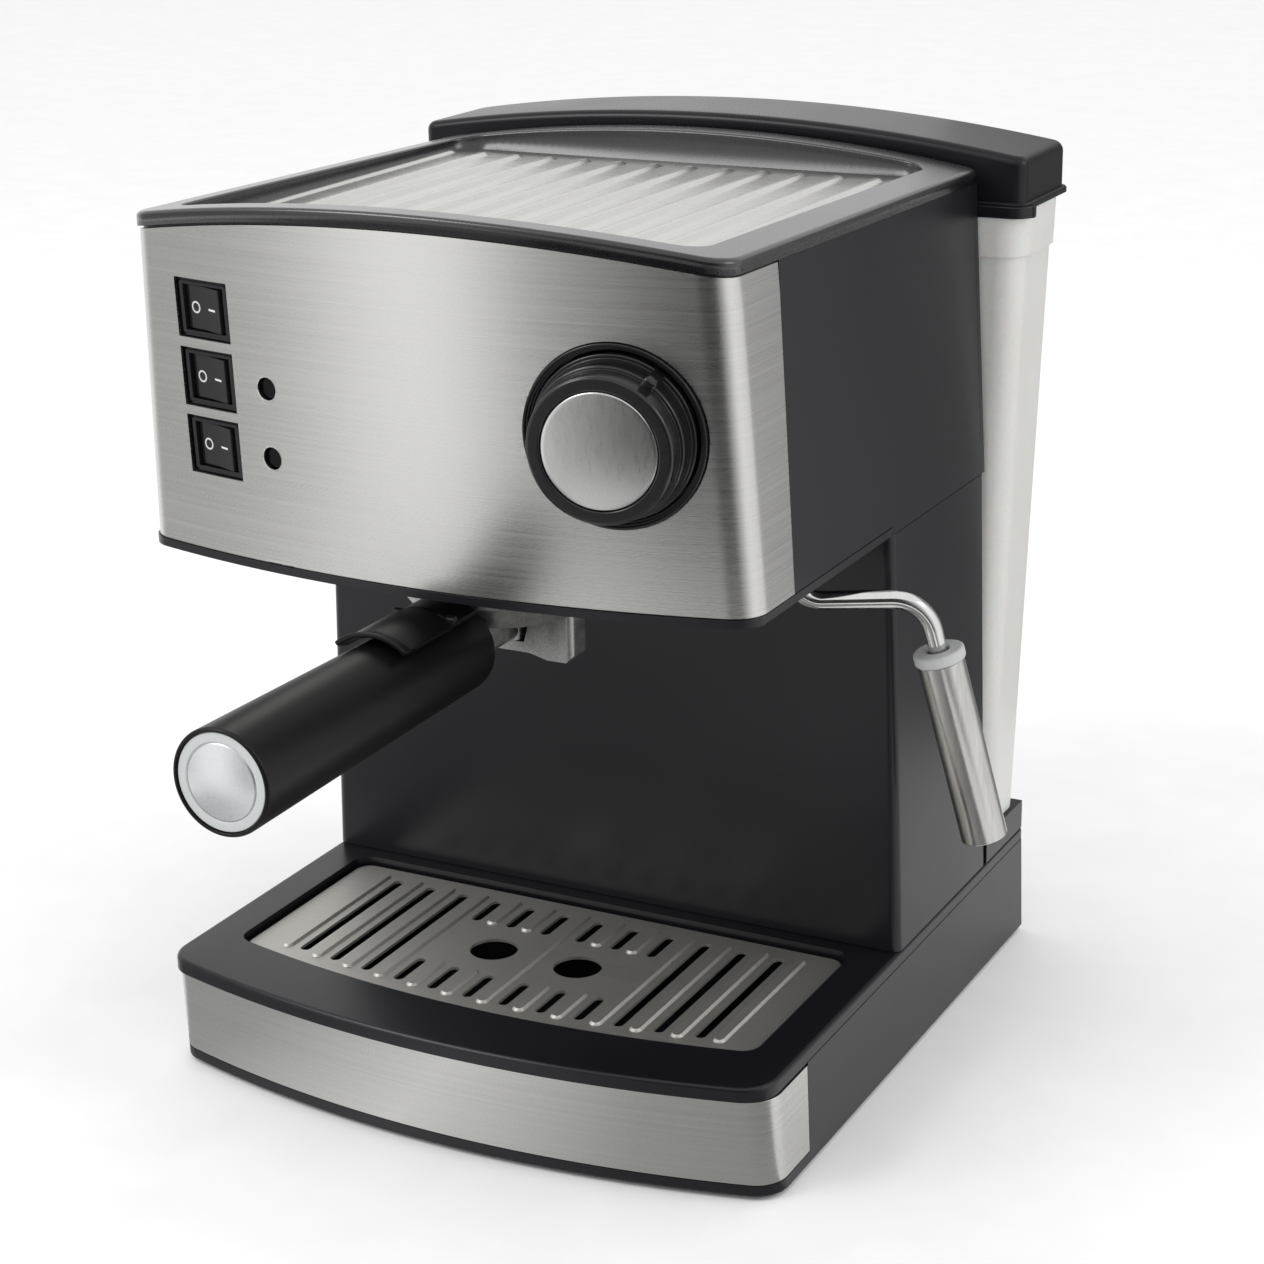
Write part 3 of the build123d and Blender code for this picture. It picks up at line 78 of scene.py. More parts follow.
HEAD_LOW = 172.0
HEAD_HALF = (98.5, 93.3)
HEAD_FRONT = (131.5, 135.5)
HEAD_SPAN = 96.6
BASE_HALF = (103.7, 102.5)
BASE_FRONT = (131.0, 133.6)
BASE_SPAN = 37.9

ARCH_APEX = 276.1
ARCH_HALF = 93.3
ARCH_RISE = 7.8
ARCH_SLOPE = radians(1.1)
RIM_THICK = 4.0
RIM_PROUD = 0.6

PANEL_LOW = 174.6
PANEL_GAP = 4.9
KNOB = (62.6, 223.2)
KNOB_HOLE = 25.6
SWITCH_X = -66.8
SWITCH_Z = (246.0, 226.0, 206.1)
WINDOW = (10.13, 8.59)
LAMP_X = -44.7
LAMP_Z = (226.2, 206.1)
LAMP_HOLE = 3.3


def between(pair, share):
    """The value that lies a share of the way from the first of the pair to the second."""
    return pair[0] + (pair[1] - pair[0]) * share


def head_sizes(z):
    """Half width and front depth of the head at a height: both are straight lines in z."""
    share = (z - HEAD_LOW) / HEAD_SPAN
    return between(HEAD_HALF, share), between(HEAD_FRONT, share)


def base_sizes(z):
    """Half width and front depth of the base at a height: both are straight lines in z."""
    share = z / BASE_SPAN
    return between(BASE_HALF, share), between(BASE_FRONT, share)


def bow(x):
    """How far a point of the front falls back from the middle: R - sqrt(R^2 - x^2)."""
    return BOW_RADIUS - np.sqrt(BOW_RADIUS**2 - x**2)


def arch(x, y, drop=0.0):
    """Height of the head's top, a cylinder of radius Ra that runs back and falls by a degree."""
    radius = (ARCH_HALF**2 + ARCH_RISE**2) / (2 * ARCH_RISE)
    circle = np.sqrt((radius - drop) ** 2 - x**2)
    return ARCH_APEX - radius + (circle - y * np.sin(ARCH_SLOPE)) / np.cos(ARCH_SLOPE)


def panel_plane(x, z):
    """Origin, across, up and outward directions of the plane that touches the head's front at x, z."""
    _, front = head_sizes(z)
    slope = x / np.sqrt(BOW_RADIUS**2 - x**2)
    lean = (HEAD_FRONT[1] - HEAD_FRONT[0]) / HEAD_SPAN
    out = np.array([slope, -1.0, -lean])
    across = np.array([1.0, slope, 0.0])
    out /= np.linalg.norm(out)
    across /= np.linalg.norm(across)
    return np.array([x, bow(x) - front, z]), across, np.cross(out, across), out


# %% [markdown]
# ## Mesh helpers
# Every new piece is a grid of points with two parameters, worked out as whole arrays. A grid
# may close on itself in either direction, and an end may be drawn together to a point, which
# makes a lid. Doubled points are merged before the faces are turned outwards.

# %% Mesh helpers
MERGE = 1e-7


def grid_faces(rows, columns, wrap_rows, wrap_columns):
    """Four corners of each cell of a grid, as indices that run along a row first."""
    i = np.arange(rows if wrap_rows else rows - 1)[:, None]
    j = np.arange(columns if wrap_columns else columns - 1)[None, :]
    below, beside = (i + 1) % rows, (j + 1) % columns
    corners = [i * columns + j, i * columns + beside, below * columns + beside, below * columns + j]
    return np.stack(corners, -1).reshape(-1, 4)


def drawn_to_a_point(points):
    """The grid with a row at each end where every point stands at the middle of that end's row."""
    ends = [np.repeat(points[k].mean(0)[None, None], points.shape[1], 1) for k in (0, -1)]
    return np.concatenate([ends[0], points, ends[1]])


def make_piece(name, points, finish, body, stands_for=(), wrap_rows=False, wrap_columns=False,
               keep=None, away_from=None, thick=0.0, bevel=0.0):
    """A mesh from a grid of points in millimetres, finished, and riding on a CAD body."""
    rows, columns, _ = points.shape
    faces = grid_faces(rows, columns, wrap_rows, wrap_columns)
    if keep is not None:
        faces = faces[keep]
    used, faces = np.unique(faces, return_inverse=True)
    vertices = points.reshape(-1, 3)[used] * MM
    mesh = bpy.data.meshes.new(name)
    mesh.from_pydata(vertices.tolist(), [], faces.reshape(-1, 4).tolist())
    cells = bmesh.new()
    cells.from_mesh(mesh)
    bmesh.ops.remove_doubles(cells, verts=cells.verts, dist=MERGE)
    bmesh.ops.recalc_face_normals(cells, faces=cells.faces)
    if away_from is not None:
        middle = Vector(away_from) * MM
        outward = sum((f.calc_center_median() - middle).dot(f.normal) * f.calc_area() for f in cells.faces)
        if outward < 0:
            bmesh.ops.reverse_faces(cells, faces=cells.faces)
    cells.to_mesh(mesh)
    cells.free()
    mesh.shade_smooth()
    piece = bpy.data.objects.new(name, mesh)
    bpy.context.scene.collection.objects.link(piece)
    mesh.materials.append(finish)
    if thick:
        shell = piece.modifiers.new("sheet", "SOLIDIFY")
        shell.thickness = thick * MM
        shell.offset = -1.0
    if bevel:
        edge = piece.modifiers.new("edge", "BEVEL")
        edge.width = bevel * MM
        edge.segments = 2
        edge.limit_method = "ANGLE"
        edge.angle_limit = radians(50)
    weight = piece.modifiers.new("flat faces", "WEIGHTED_NORMAL")
    weight.keep_sharp = True
    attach(piece, body)
    if stands_for:
        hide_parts(*stands_for)
    print(name, "faces", len(mesh.polygons))
    return piece


def lines(low, high, step, *fixed):
    """Values from low to high about a step apart that pass through every fixed value."""
    stops = [low, *sorted(fixed), high]
    runs = [np.linspace(a, b, max(2, int(np.ceil((b - a) / step)) + 1)) for a, b in zip(stops, stops[1:])]
    return np.unique(np.concatenate(runs).round(6))


def rounded(corners, radii, steps=5):
    """A profile through the corners, with each inner corner replaced by an arc of its radius."""
    corners = np.array(corners, float)
    path = [corners[:1]]
    for before, corner, after, radius in zip(corners, corners[1:], corners[2:], radii):
        back, ahead = before - corner, after - corner
        back /= np.linalg.norm(back)
        ahead /= np.linalg.norm(ahead)
        half = np.arccos(np.clip(back @ ahead, -1, 1)) / 2
        reach = radius / np.tan(half)
        middle = corner + (back + ahead) / np.linalg.norm(back + ahead) * radius / np.sin(half)
        first, last = corner + back * reach - middle, corner + ahead * reach - middle
        turn = np.pi - 2 * half
        share = np.linspace(0, 1, steps + 1)[:, None]
        arc = (np.sin((1 - share) * turn) * first + np.sin(share * turn) * last) / np.sin(turn)
        path.append(middle + arc)
    path.append(corners[-1:])
    return np.concatenate(path)


def turned(profile, origin, axis, steps=96):
    """A surface of revolution: each (radius, height) of the profile goes round the axis."""
    axis = np.array(axis, float) / np.linalg.norm(axis)
    side = np.cross(axis, [0.0, 0.0, 1.0] if abs(axis[2]) < 0.9 else [1.0, 0.0, 0.0])
    side /= np.linalg.norm(side)
    other = np.cross(axis, side)
    angle = np.linspace(0, 2 * np.pi, steps, endpoint=False)[None, :, None]
    radius, height = profile[:, 0][:, None, None], profile[:, 1][:, None, None]
    around = np.cos(angle) * side + np.sin(angle) * other
    return np.array(origin, float) + radius * around + height * axis


# %% [markdown]
# ## Finishes
# Brushed steel, moulded plastic and cast metal each differ by a small pattern in the surface.
# The three patterns are node groups, so several materials share each one with their own values.
# Brushing is a noise that is stretched a hundred times along the direction of the strokes.

# %% Pattern groups
def node(tree, kind, inputs=None, **settings):
    """Adds a node, gives it settings, and fills each named input with a value or a link."""
    made = tree.nodes.new(kind)
    for key, value in settings.items():
        setattr(made, key, value)
    for key, value in (inputs or {}).items():
        if isinstance(value, bpy.types.NodeSocket):
            tree.links.new(value, made.inputs[key])
        else:
            made.inputs[key].default_value = value
    return made


def pattern_group(name, inputs, outputs):
    """An empty node group with its named sockets, and its input and output nodes."""
    group = bpy.data.node_groups.new(name, "ShaderNodeTree")
    for label, kind in inputs:
        group.interface.new_socket(label, in_out="INPUT", socket_type=kind)
    for label, kind in outputs:
        group.interface.new_socket(label, in_out="OUTPUT", socket_type=kind)
    return group, group.nodes.new("NodeGroupInput"), group.nodes.new("NodeGroupOutput")


def brushing_group():
    """Fine parallel strokes, and a slow change of tone along and across the sheet."""
    group, given, out = pattern_group(
        "brushing", [("Strokes", "NodeSocketVector")],
        [("Line", "NodeSocketFloat"), ("Tone", "NodeSocketFloat")])
    place = node(group, "ShaderNodeTexCoord")
    stretched = node(group, "ShaderNodeVectorMath", {0: place.outputs["Object"], 1: given.outputs["Strokes"]},
                     operation="MULTIPLY")
    fine = node(group, "ShaderNodeTexNoise", {"Vector": stretched.outputs[0], "Scale": 1.0, "Detail": 5.0,
                                              "Roughness": 0.75})
    wide = node(group, "ShaderNodeTexNoise", {"Vector": stretched.outputs[0], "Scale": 0.3, "Detail": 3.0})
    group.links.new(fine.outputs[0], out.inputs["Line"])
    group.links.new(wide.outputs[0], out.inputs["Tone"])
    return group


def moulding_group():
    """The fine grain of spark-eroded moulded plastic, and slow cloudy changes of gloss."""
    group, given, out = pattern_group(
        "moulding", [("Grain size", "NodeSocketFloat")],
        [("Grain", "NodeSocketFloat"), ("Cloud", "NodeSocketFloat")])
    place = node(group, "ShaderNodeTexCoord")
    grain = node(group, "ShaderNodeTexNoise", {"Vector": place.outputs["Object"],
                                               "Scale": given.outputs["Grain size"], "Detail": 2.0})
    cloud = node(group, "ShaderNodeTexNoise", {"Vector": place.outputs["Object"], "Scale": 22.0,
                                               "Detail": 4.0})
    group.links.new(grain.outputs[0], out.inputs["Grain"])
    group.links.new(cloud.outputs[0], out.inputs["Cloud"])
    return group


def casting_group():
    """Shot-blasted cast metal: rounded pits between larger swells."""
    group, given, out = pattern_group(
        "casting", [("Pit size", "NodeSocketFloat")],
        [("Pits", "NodeSocketFloat"), ("Swell", "NodeSocketFloat")])
    place = node(group, "ShaderNodeTexCoord")
    pits = node(group, "ShaderNodeTexVoronoi", {"Vector": place.outputs["Object"],
                                                "Scale": given.outputs["Pit size"]}, feature="SMOOTH_F1")
    swell = node(group, "ShaderNodeTexNoise", {"Vector": place.outputs["Object"], "Scale": 260.0,
                                               "Detail": 5.0})
    group.links.new(pits.outputs[0], out.inputs["Pits"])
    group.links.new(swell.outputs[0], out.inputs["Swell"])
    return group


PATTERNS = {"brushing": brushing_group(), "moulding": moulding_group(), "casting": casting_group()}
print("pattern groups:", sorted(PATTERNS))


# %% [markdown]
# One function makes each material. It places a pattern group, spreads one output over two
# nearby colours and the other over a range of roughness, and feeds the fine one to a bump.

# %% Materials
def make_finish(name, pattern, size, colours, roughness, metallic, height, **shine):
    """A material whose colour, gloss and relief follow the two outputs of one pattern group."""
    material = bpy.data.materials.new(name)
    material.use_nodes = True
    tree = material.node_tree
    shader = tree.nodes["Principled BSDF"]
    group = tree.nodes.new("ShaderNodeGroup")
    group.node_tree = PATTERNS[pattern]
    group.inputs[0].default_value = size
    fine, slow = group.outputs[0], group.outputs[1]
    tint = node(tree, "ShaderNodeMix", data_type="RGBA")
    both = node(tree, "ShaderNodeMath", {0: fine, 1: slow}, operation="ADD")
    spread = node(tree, "ShaderNodeMapRange", {"Value": both.outputs[0], "From Min": 0.7, "From Max": 1.3})
    tree.links.new(spread.outputs[0], tint.inputs["Factor"])
    tint.inputs["A"].default_value = (*colours[0], 1.0)
    tint.inputs["B"].default_value = (*colours[1], 1.0)
    tree.links.new(tint.outputs["Result"], shader.inputs["Base Color"])
    gloss = node(tree, "ShaderNodeMapRange", {"Value": both.outputs[0], "From Min": 0.7, "From Max": 1.3,
                                              "To Min": roughness[0], "To Max": roughness[1]})
    tree.links.new(gloss.outputs[0], shader.inputs["Roughness"])
    relief = node(tree, "ShaderNodeBump", {"Height": fine, "Strength": 1.0, "Distance": height * MM})
    tree.links.new(relief.outputs[0], shader.inputs["Normal"])
    shader.inputs["Metallic"].default_value = metallic
    for socket, value in shine.items():
        shader.inputs[socket.replace("_", " ")].default_value = value
    return material


ACROSS_STROKES = (16.0, 16.0, 5200.0)       # upright sheets, brushed from side to side
SHELF_STROKES = (16.0, 5200.0, 16.0)        # level sheets, brushed from side to side
STEEL = ((0.575, 0.57, 0.55), (0.645, 0.64, 0.615))

front_steel = make_finish("brushed_front_sheet", "brushing", ACROSS_STROKES, STEEL, (0.25, 0.31), 1.0, 0.004)
shelf_steel = make_finish("brushed_level_sheet", "brushing", SHELF_STROKES, STEEL, (0.25, 0.32), 1.0, 0.003)
grate_steel = make_finish("brushed_grate", "brushing", SHELF_STROKES,
                          ((0.54, 0.525, 0.49), (0.62, 0.605, 0.57)), (0.50, 0.58), 1.0, 0.004)
cap_steel = make_finish("brushed_knob_cap", "brushing", (5200.0, 200.0, 700.0),
                        ((0.58, 0.58, 0.57), (0.64, 0.64, 0.62)), (0.26, 0.32), 1.0, 0.002)
sleeve_steel = make_finish("drawn_sleeve", "brushing", (900.0, 900.0, 40.0),
                           ((0.50, 0.49, 0.47), (0.62, 0.61, 0.585)), (0.16, 0.26), 1.0, 0.003)
tube_steel = make_finish("polished_tube", "brushing", (500.0, 500.0, 500.0),
                         ((0.66, 0.66, 0.65), (0.74, 0.74, 0.73)), (0.10, 0.17), 1.0, 0.001)
black_plastic = make_finish("black_moulding", "moulding", 2600.0,
                            ((0.005, 0.005, 0.008), (0.008, 0.008, 0.011)), (0.28, 0.34), 0.0, 0.005,
                            Specular_IOR_Level=0.38)
rim_plastic = make_finish("black_rim", "moulding", 2600.0,
                          ((0.006, 0.006, 0.008), (0.009, 0.009, 0.011)), (0.24, 0.30), 0.0, 0.004,
                          Coat_Weight=0.6, Coat_Roughness=0.24)
lid_plastic = make_finish("black_lid", "moulding", 2600.0,
                          ((0.005, 0.005, 0.007), (0.008, 0.008, 0.010)), (0.26, 0.32), 0.0, 0.004,
                          Specular_IOR_Level=0.26)
grip_plastic = make_finish("black_grip", "moulding", 3200.0,
                           ((0.004, 0.004, 0.0045), (0.006, 0.006, 0.0065)), (0.32, 0.40), 0.0, 0.005,
                           Specular_IOR_Level=0.22)
gloss_plastic = make_finish("black_gloss", "moulding", 900.0,
                            ((0.007, 0.007, 0.008), (0.011, 0.011, 0.012)), (0.14, 0.22), 0.0, 0.002)
cast_metal = make_finish("blasted_casting", "casting", 2200.0,
                         ((0.30, 0.30, 0.295), (0.48, 0.48, 0.47)), (0.34, 0.50), 1.0, 0.030)
satin_silver = make_finish("satin_silver", "moulding", 1500.0,
                           ((0.60, 0.61, 0.62), (0.68, 0.69, 0.70)), (0.26, 0.34), 0.75, 0.003)
pale_ring = make_finish("pale_ring", "moulding", 2200.0,
                        ((0.52, 0.54, 0.54), (0.57, 0.59, 0.59)), (0.40, 0.50), 0.35, 0.004)
grey_plastic = make_finish("grey_cap", "moulding", 2600.0,
                           ((0.40, 0.41, 0.405), (0.46, 0.47, 0.465)), (0.42, 0.54), 0.0, 0.010)
milky_plastic = make_finish("milky_tank", "moulding", 700.0,
                            ((0.58, 0.575, 0.55), (0.62, 0.615, 0.595)), (0.30, 0.42), 0.0, 0.004,
                            Subsurface_Weight=0.35, Subsurface_Scale=0.004)
dark_lens = make_finish("dark_lens", "moulding", 500.0,
                        ((0.004, 0.003, 0.003), (0.006, 0.004, 0.004)), (0.10, 0.16), 0.0, 0.001,
                        Specular_IOR_Level=0.15)
rubber = make_finish("black_rubber", "moulding", 1800.0,
                     ((0.020, 0.020, 0.020), (0.030, 0.030, 0.030)), (0.62, 0.75), 0.0, 0.010)
silicone = make_finish("pale_silicone", "moulding", 900.0,
                       ((0.60, 0.59, 0.56), (0.68, 0.67, 0.64)), (0.42, 0.55), 0.0, 0.006)
brass = make_finish("turned_brass", "brushing", (60.0, 2400.0, 60.0),
                    ((0.55, 0.40, 0.18), (0.68, 0.52, 0.26)), (0.22, 0.36), 1.0, 0.004)
zinc = make_finish("zinc_plate", "casting", 900.0,
                   ((0.44, 0.45, 0.46), (0.58, 0.59, 0.60)), (0.28, 0.42), 1.0, 0.006)
black_steel = make_finish("blackened_steel", "casting", 1400.0,
                          ((0.010, 0.010, 0.011), (0.016, 0.016, 0.017)), (0.42, 0.52), 0.3, 0.003)
coil_resin = make_finish("coil_resin", "moulding", 1600.0,
                         ((0.020, 0.050, 0.110), (0.030, 0.070, 0.140)), (0.38, 0.50), 0.0, 0.010)
wire_cover = make_finish("wire_cover", "moulding", 1200.0,
                         ((0.32, 0.030, 0.020), (0.42, 0.045, 0.030)), (0.36, 0.48), 0.0, 0.004)
print("finishes:", len(bpy.data.materials))

# %% [markdown]
# ## Pieces that keep their CAD shape
# Housings, inner parts and small hardware are right as they are. Their faces arrive as loose
# triangles, so a weld joins them and a split at sharp edges keeps corners crisp under smooth
# shading. Each takes a finish from the kind of material that its record names.

# %% Finishes of the CAD nodes
SLOT_FINISH = {
    "black_plastic": black_plastic, "black_gloss": gloss_plastic, "stainless": shelf_steel,
    "polished_steel": tube_steel, "die_cast": cast_metal, "silver_trim": satin_silver,
    "grey_plastic": grey_plastic, "milky_plastic": milky_plastic, "amber_lens": dark_lens,
    "black_rubber": rubber, "silicone": silicone, "brass": brass, "zinc_steel": zinc,
    "copper_coil": coil_resin, "wire_pvc": wire_cover}
OWN_FINISH = {
    "drip_grate": grate_steel, "knob_bezel": gloss_plastic, "steam_knob": gloss_plastic,
    "handle_grip": grip_plastic, "retainer_lever": grip_plastic, "lever_pin": black_steel}
SHARP = radians(30)
WELD_REACH = 1e-6

slot_of = {entry["node"]: entry["material_slot"] for entry in frame["record"]["subparts"]}
for name, piece in frame["nodes"].items():
    piece.data.materials.clear()
    piece.data.materials.append(OWN_FINISH.get(name, SLOT_FINISH[slot_of[name]]))
    piece.data.shade_smooth()
    piece.modifiers.new("weld", "WELD").merge_threshold = WELD_REACH
    split = piece.modifiers.new("sharp edges", "EDGE_SPLIT")
    split.split_angle = SHARP
print("CAD nodes finished:", len(slot_of))

# %% [markdown]
# ## Front sheet of the head
# One stainless sheet, 0.8 mm thick, is bent round the bow, round both corners and back along the
# sides, and its top edge follows the arch. It is a grid over the bent path and the height. The
# grid has lines on the edges of the switch windows. Cells inside the round holes are left out,
# and the points on their rims are moved onto true circles.

# %% Front sheet of the head
WRAP_STEPS = 12
CORNER_STEPS = 14
STEADY_X = 82.0         # grid lines inside this stay upright
LAST_X = 90.0


def wrap_points(x_lines, z, sizes):
    """Points of a sheet bent round the front: side, corner arc, bow, corner arc, side.

    In the bow y = bow(x) - front. A corner is an arc of radius c round (half - c, cy), where
    cy = (R - front) - sqrt((R - c)^2 - (half - c)^2) makes it touch both the side and the bow."""
    half, front = sizes(z)
    inner = half - FRONT_CORNER
    centre_y = (BOW_RADIUS - front) - np.sqrt((BOW_RADIUS - FRONT_CORNER) ** 2 - inner**2)
    end_angle = np.arctan2(centre_y - (BOW_RADIUS - front), inner)
    touch = inner * BOW_RADIUS / (BOW_RADIUS - FRONT_CORNER)
    share = np.linspace(0, 1, CORNER_STEPS + 1)[1:-1]
    side_share = np.linspace(0, 1, WRAP_STEPS + 1)
    angle = end_angle[:, None] * share
    corner_x = inner[:, None] + FRONT_CORNER * np.cos(angle)
    corner_y = centre_y[:, None] + FRONT_CORNER * np.sin(angle)
    side_x = np.repeat(half[:, None], WRAP_STEPS + 1, 1)
    side_y = WRAP_END + (centre_y[:, None] - WRAP_END) * side_share
    pull = np.clip((np.abs(x_lines) - STEADY_X) / (LAST_X - STEADY_X), 0, 1) * np.sign(x_lines)
    bow_x = x_lines + pull * (touch[:, None] - LAST_X)
    bow_y = bow(bow_x) - front[:, None]
    x = np.concatenate([-side_x, -corner_x, bow_x, corner_x[:, ::-1], side_x[:, ::-1]], 1)
    y = np.concatenate([side_y, corner_y, bow_y, corner_y[:, ::-1], side_y[:, ::-1]], 1)
    return x, y


window_x = [SWITCH_X - WINDOW[0], SWITCH_X + WINDOW[0]]
window_z = [z + side * WINDOW[1] for z in SWITCH_Z for side in (-1, 1)]
coarse_x = lines(-LAST_X, LAST_X, 1.0, *window_x)
fine_x = lines(LAMP_X - 4.5, LAMP_X + 4.5, 0.5)
sheet_x = np.unique(np.concatenate([coarse_x, fine_x]).round(4))
STEADY_Z = 257.0
sheet_z = lines(PANEL_LOW, STEADY_Z, 1.0, *window_z)
top_rows = np.linspace(0, 1, 12)[1:]

level_z = np.append(sheet_z, STEADY_Z + top_rows * (HEAD_LOW + HEAD_SPAN - STEADY_Z))
x, y = wrap_points(sheet_x, level_z, head_sizes)
z = np.repeat(np.minimum(level_z, STEADY_Z)[:, None], x.shape[1], 1)
z[sheet_z.size:] += top_rows[:, None] * (arch(x, y, PANEL_GAP)[sheet_z.size:] - STEADY_Z)
sheet = np.stack([x, y, z], -1)
cells = grid_faces(*sheet.shape[:2], False, False)
flat = sheet.reshape(-1, 3)
middle = flat[cells].mean(1)
keep = np.ones(len(cells), bool)
for level in SWITCH_Z:
    keep &= ~((np.abs(middle[:, 0] - SWITCH_X) < WINDOW[0]) & (np.abs(middle[:, 2] - level) < WINDOW[1])
              & (middle[:, 1] < WRAP_END))
for (hole_x, hole_z), radius in [(KNOB, KNOB_HOLE)] + [((LAMP_X, level), LAMP_HOLE) for level in LAMP_Z]:
    origin, across, up, out = panel_plane(hole_x, hole_z)
    reach = np.hypot((middle - origin) @ across, (middle - origin) @ up)
    inside = reach < radius
    rim = np.intersect1d(cells[inside], cells[~inside])
    a, b = (flat[rim] - origin) @ across, (flat[rim] - origin) @ up
    stretch = (radius / np.hypot(a, b) - 1)[:, None]
    flat[rim] += stretch * (a[:, None] * across + b[:, None] * up)
    keep &= ~inside
HEAD_MIDDLE = (0.0, 0.0, 220.0)
make_piece("head_front_sheet", flat.reshape(sheet.shape), front_steel, "machine", ["head_panel"],
           keep=keep, away_from=HEAD_MIDDLE, thick=SHEET, bevel=SHEET_EDGE)

# %% [markdown]
# ## Band round the base
# The same bent path at the foot of the machine, without holes.

# %% Band round the base
BAND_Z = (5.2, 32.6)
BAND_MIDDLE = (0.0, 0.0, 20.0)

band_x = lines(-LAST_X, LAST_X, 3.0)
band_z = lines(*BAND_Z, 2.5)
x, y = wrap_points(band_x, band_z, base_sizes)
z = np.repeat(band_z[:, None], x.shape[1], 1)
make_piece("base_front_band", np.stack([x, y, z], -1), front_steel, "machine", ["base_band"],
           away_from=BAND_MIDDLE, thick=SHEET, bevel=SHEET_EDGE)

# %% [markdown]
# ## Rim round the cup shelf
# A black moulding closes the head. Its outside follows the sheet, its top is the arch, and its
# inside is a recess with a ledge for the cup plate. It is one closed profile carried round one
# closed loop. Each row of the grid is the loop at one point of the profile.

# %% Rim round the cup shelf
OPENING = (82.5, 127.0, 42.0, 9.0, 9.0)
LEDGE_TOP = 264.4
LEDGE_THICK = 2.0
LEDGE_WIDE = 5.0
COLLAR = 2.4
RIM_REAR, RIM_REAR_CORNER = 53.1, 3.0
EDGE_ROUND = 1.3
MOUTH_ROUND = 0.9
SIDE_STEPS, ARC_STEPS, BOW_STEPS, BACK_STEPS = 24, 8, 60, 48


def bowed_loop(half, front, rear, corner, rear_corner):
    """A closed outline with a bowed front: side, corner, bow, corner, side, corner, back, corner."""
    inner = half - corner
    middle_y = BOW_RADIUS - front
    corner_y = middle_y - np.sqrt((BOW_RADIUS - corner) ** 2 - inner**2)
    end = np.arctan2(corner_y - middle_y, inner)
    spread = np.arcsin(inner / (BOW_RADIUS - corner))
    t = {n: np.linspace(0, 1, n, endpoint=False) for n in (SIDE_STEPS, ARC_STEPS, BOW_STEPS, BACK_STEPS)}
    side, arc, across, back = t[SIDE_STEPS], t[ARC_STEPS], t[BOW_STEPS], t[BACK_STEPS]
    quarter = np.pi / 2 * arc
    far = rear - rear_corner
    x = [np.full(SIDE_STEPS, -half), -inner - corner * np.cos(end * arc),
         BOW_RADIUS * np.sin(spread * (2 * across - 1)), inner + corner * np.cos(end * (1 - arc)),
         np.full(SIDE_STEPS, half), half - rear_corner + rear_corner * np.cos(quarter),
         (half - rear_corner) * (1 - 2 * back), -(half - rear_corner) - rear_corner * np.sin(quarter)]
    y = [far + (corner_y - far) * side, corner_y + corner * np.sin(end * arc),
         middle_y - BOW_RADIUS * np.cos(spread * (2 * across - 1)),
         corner_y + corner * np.sin(end * (1 - arc)),
         corner_y + (far - corner_y) * side, far + rear_corner * np.sin(quarter),
         np.full(BACK_STEPS, rear), far + rear_corner * np.cos(quarter)]
    return np.concatenate(x), np.concatenate(y)


def outer_row(inset, drop):
    """The rim's outside, moved in by inset, at drop below the arch."""
    half, front = head_sizes(HEAD_LOW + HEAD_SPAN + 2 - drop)
    x, y = bowed_loop(half + RIM_PROUD - inset, front + RIM_PROUD - inset, RIM_REAR - inset,
                      FRONT_CORNER, RIM_REAR_CORNER)
    return np.stack([x, y, arch(x, y, drop)], -1)


def inner_row(grow, drop=None, level=None):
    """The recess outline, grown, at drop below the arch or at a level height."""
    half, front, rear, corner, rear_corner = OPENING
    x, y = bowed_loop(half + grow, front + grow, rear + grow, corner + grow, rear_corner + grow)
    return np.stack([x, y, arch(x, y, drop) if level is None else np.full(x.size, level)], -1)


curve = np.linspace(0, np.pi / 2, 7)
rim_rows = [outer_row(0, RIM_THICK)]
rim_rows += [outer_row(EDGE_ROUND * (1 - np.cos(a)), EDGE_ROUND * (1 - np.sin(a))) for a in curve]
rim_rows += [inner_row(MOUTH_ROUND * (1 - np.cos(a)), MOUTH_ROUND * (1 - np.sin(a))) for a in curve[::-1]]
rim_rows += [inner_row(0, level=LEDGE_TOP), inner_row(-LEDGE_WIDE, level=LEDGE_TOP),
             inner_row(-LEDGE_WIDE, level=LEDGE_TOP - LEDGE_THICK),
             inner_row(COLLAR, level=LEDGE_TOP - LEDGE_THICK), inner_row(COLLAR, RIM_THICK)]
make_piece("shelf_rim", np.array(rim_rows), rim_plastic, "machine", ["top_rim"],
           wrap_rows=True, wrap_columns=True)

# %% [markdown]
# ## Cup plate
# A flat stainless plate with twelve embossed ribs lies in the recess. It is a height field: the
# height rises smoothly by 0.9 mm inside a stadium shape round each rib's centre line.

# %% Cup plate
PLATE_TOP = 265.4
PLATE_THICK = 1.0
RIB_PITCH, RIB_WIDE, RIB_HIGH, RIB_EDGE = 12.6, 4.6, 0.9, 1.3
RIB_END = 8.0
plate_half, plate_front, plate_rear, plate_corner = 82.2, 126.7, 41.7, 8.7


def smooth_step(value):
    """3v^2 - 2v^3 between 0 and 1, flat outside."""
    value = np.clip(value, 0, 1)
    return value * value * (3 - 2 * value)


def rib_height(x, y, pitch, front_end, back_end, wide, edge, high):
    """Height over a row of ribs: a smooth step of the distance inside the nearest stadium."""
    across = x - (np.round(x / pitch - 0.5) + 0.5) * pitch
    beyond = np.maximum(np.maximum(front_end + wide / 2 - y, y - back_end + wide / 2), 0)
    inside = wide / 2 - np.hypot(across, beyond)
    return high * smooth_step(inside / edge)


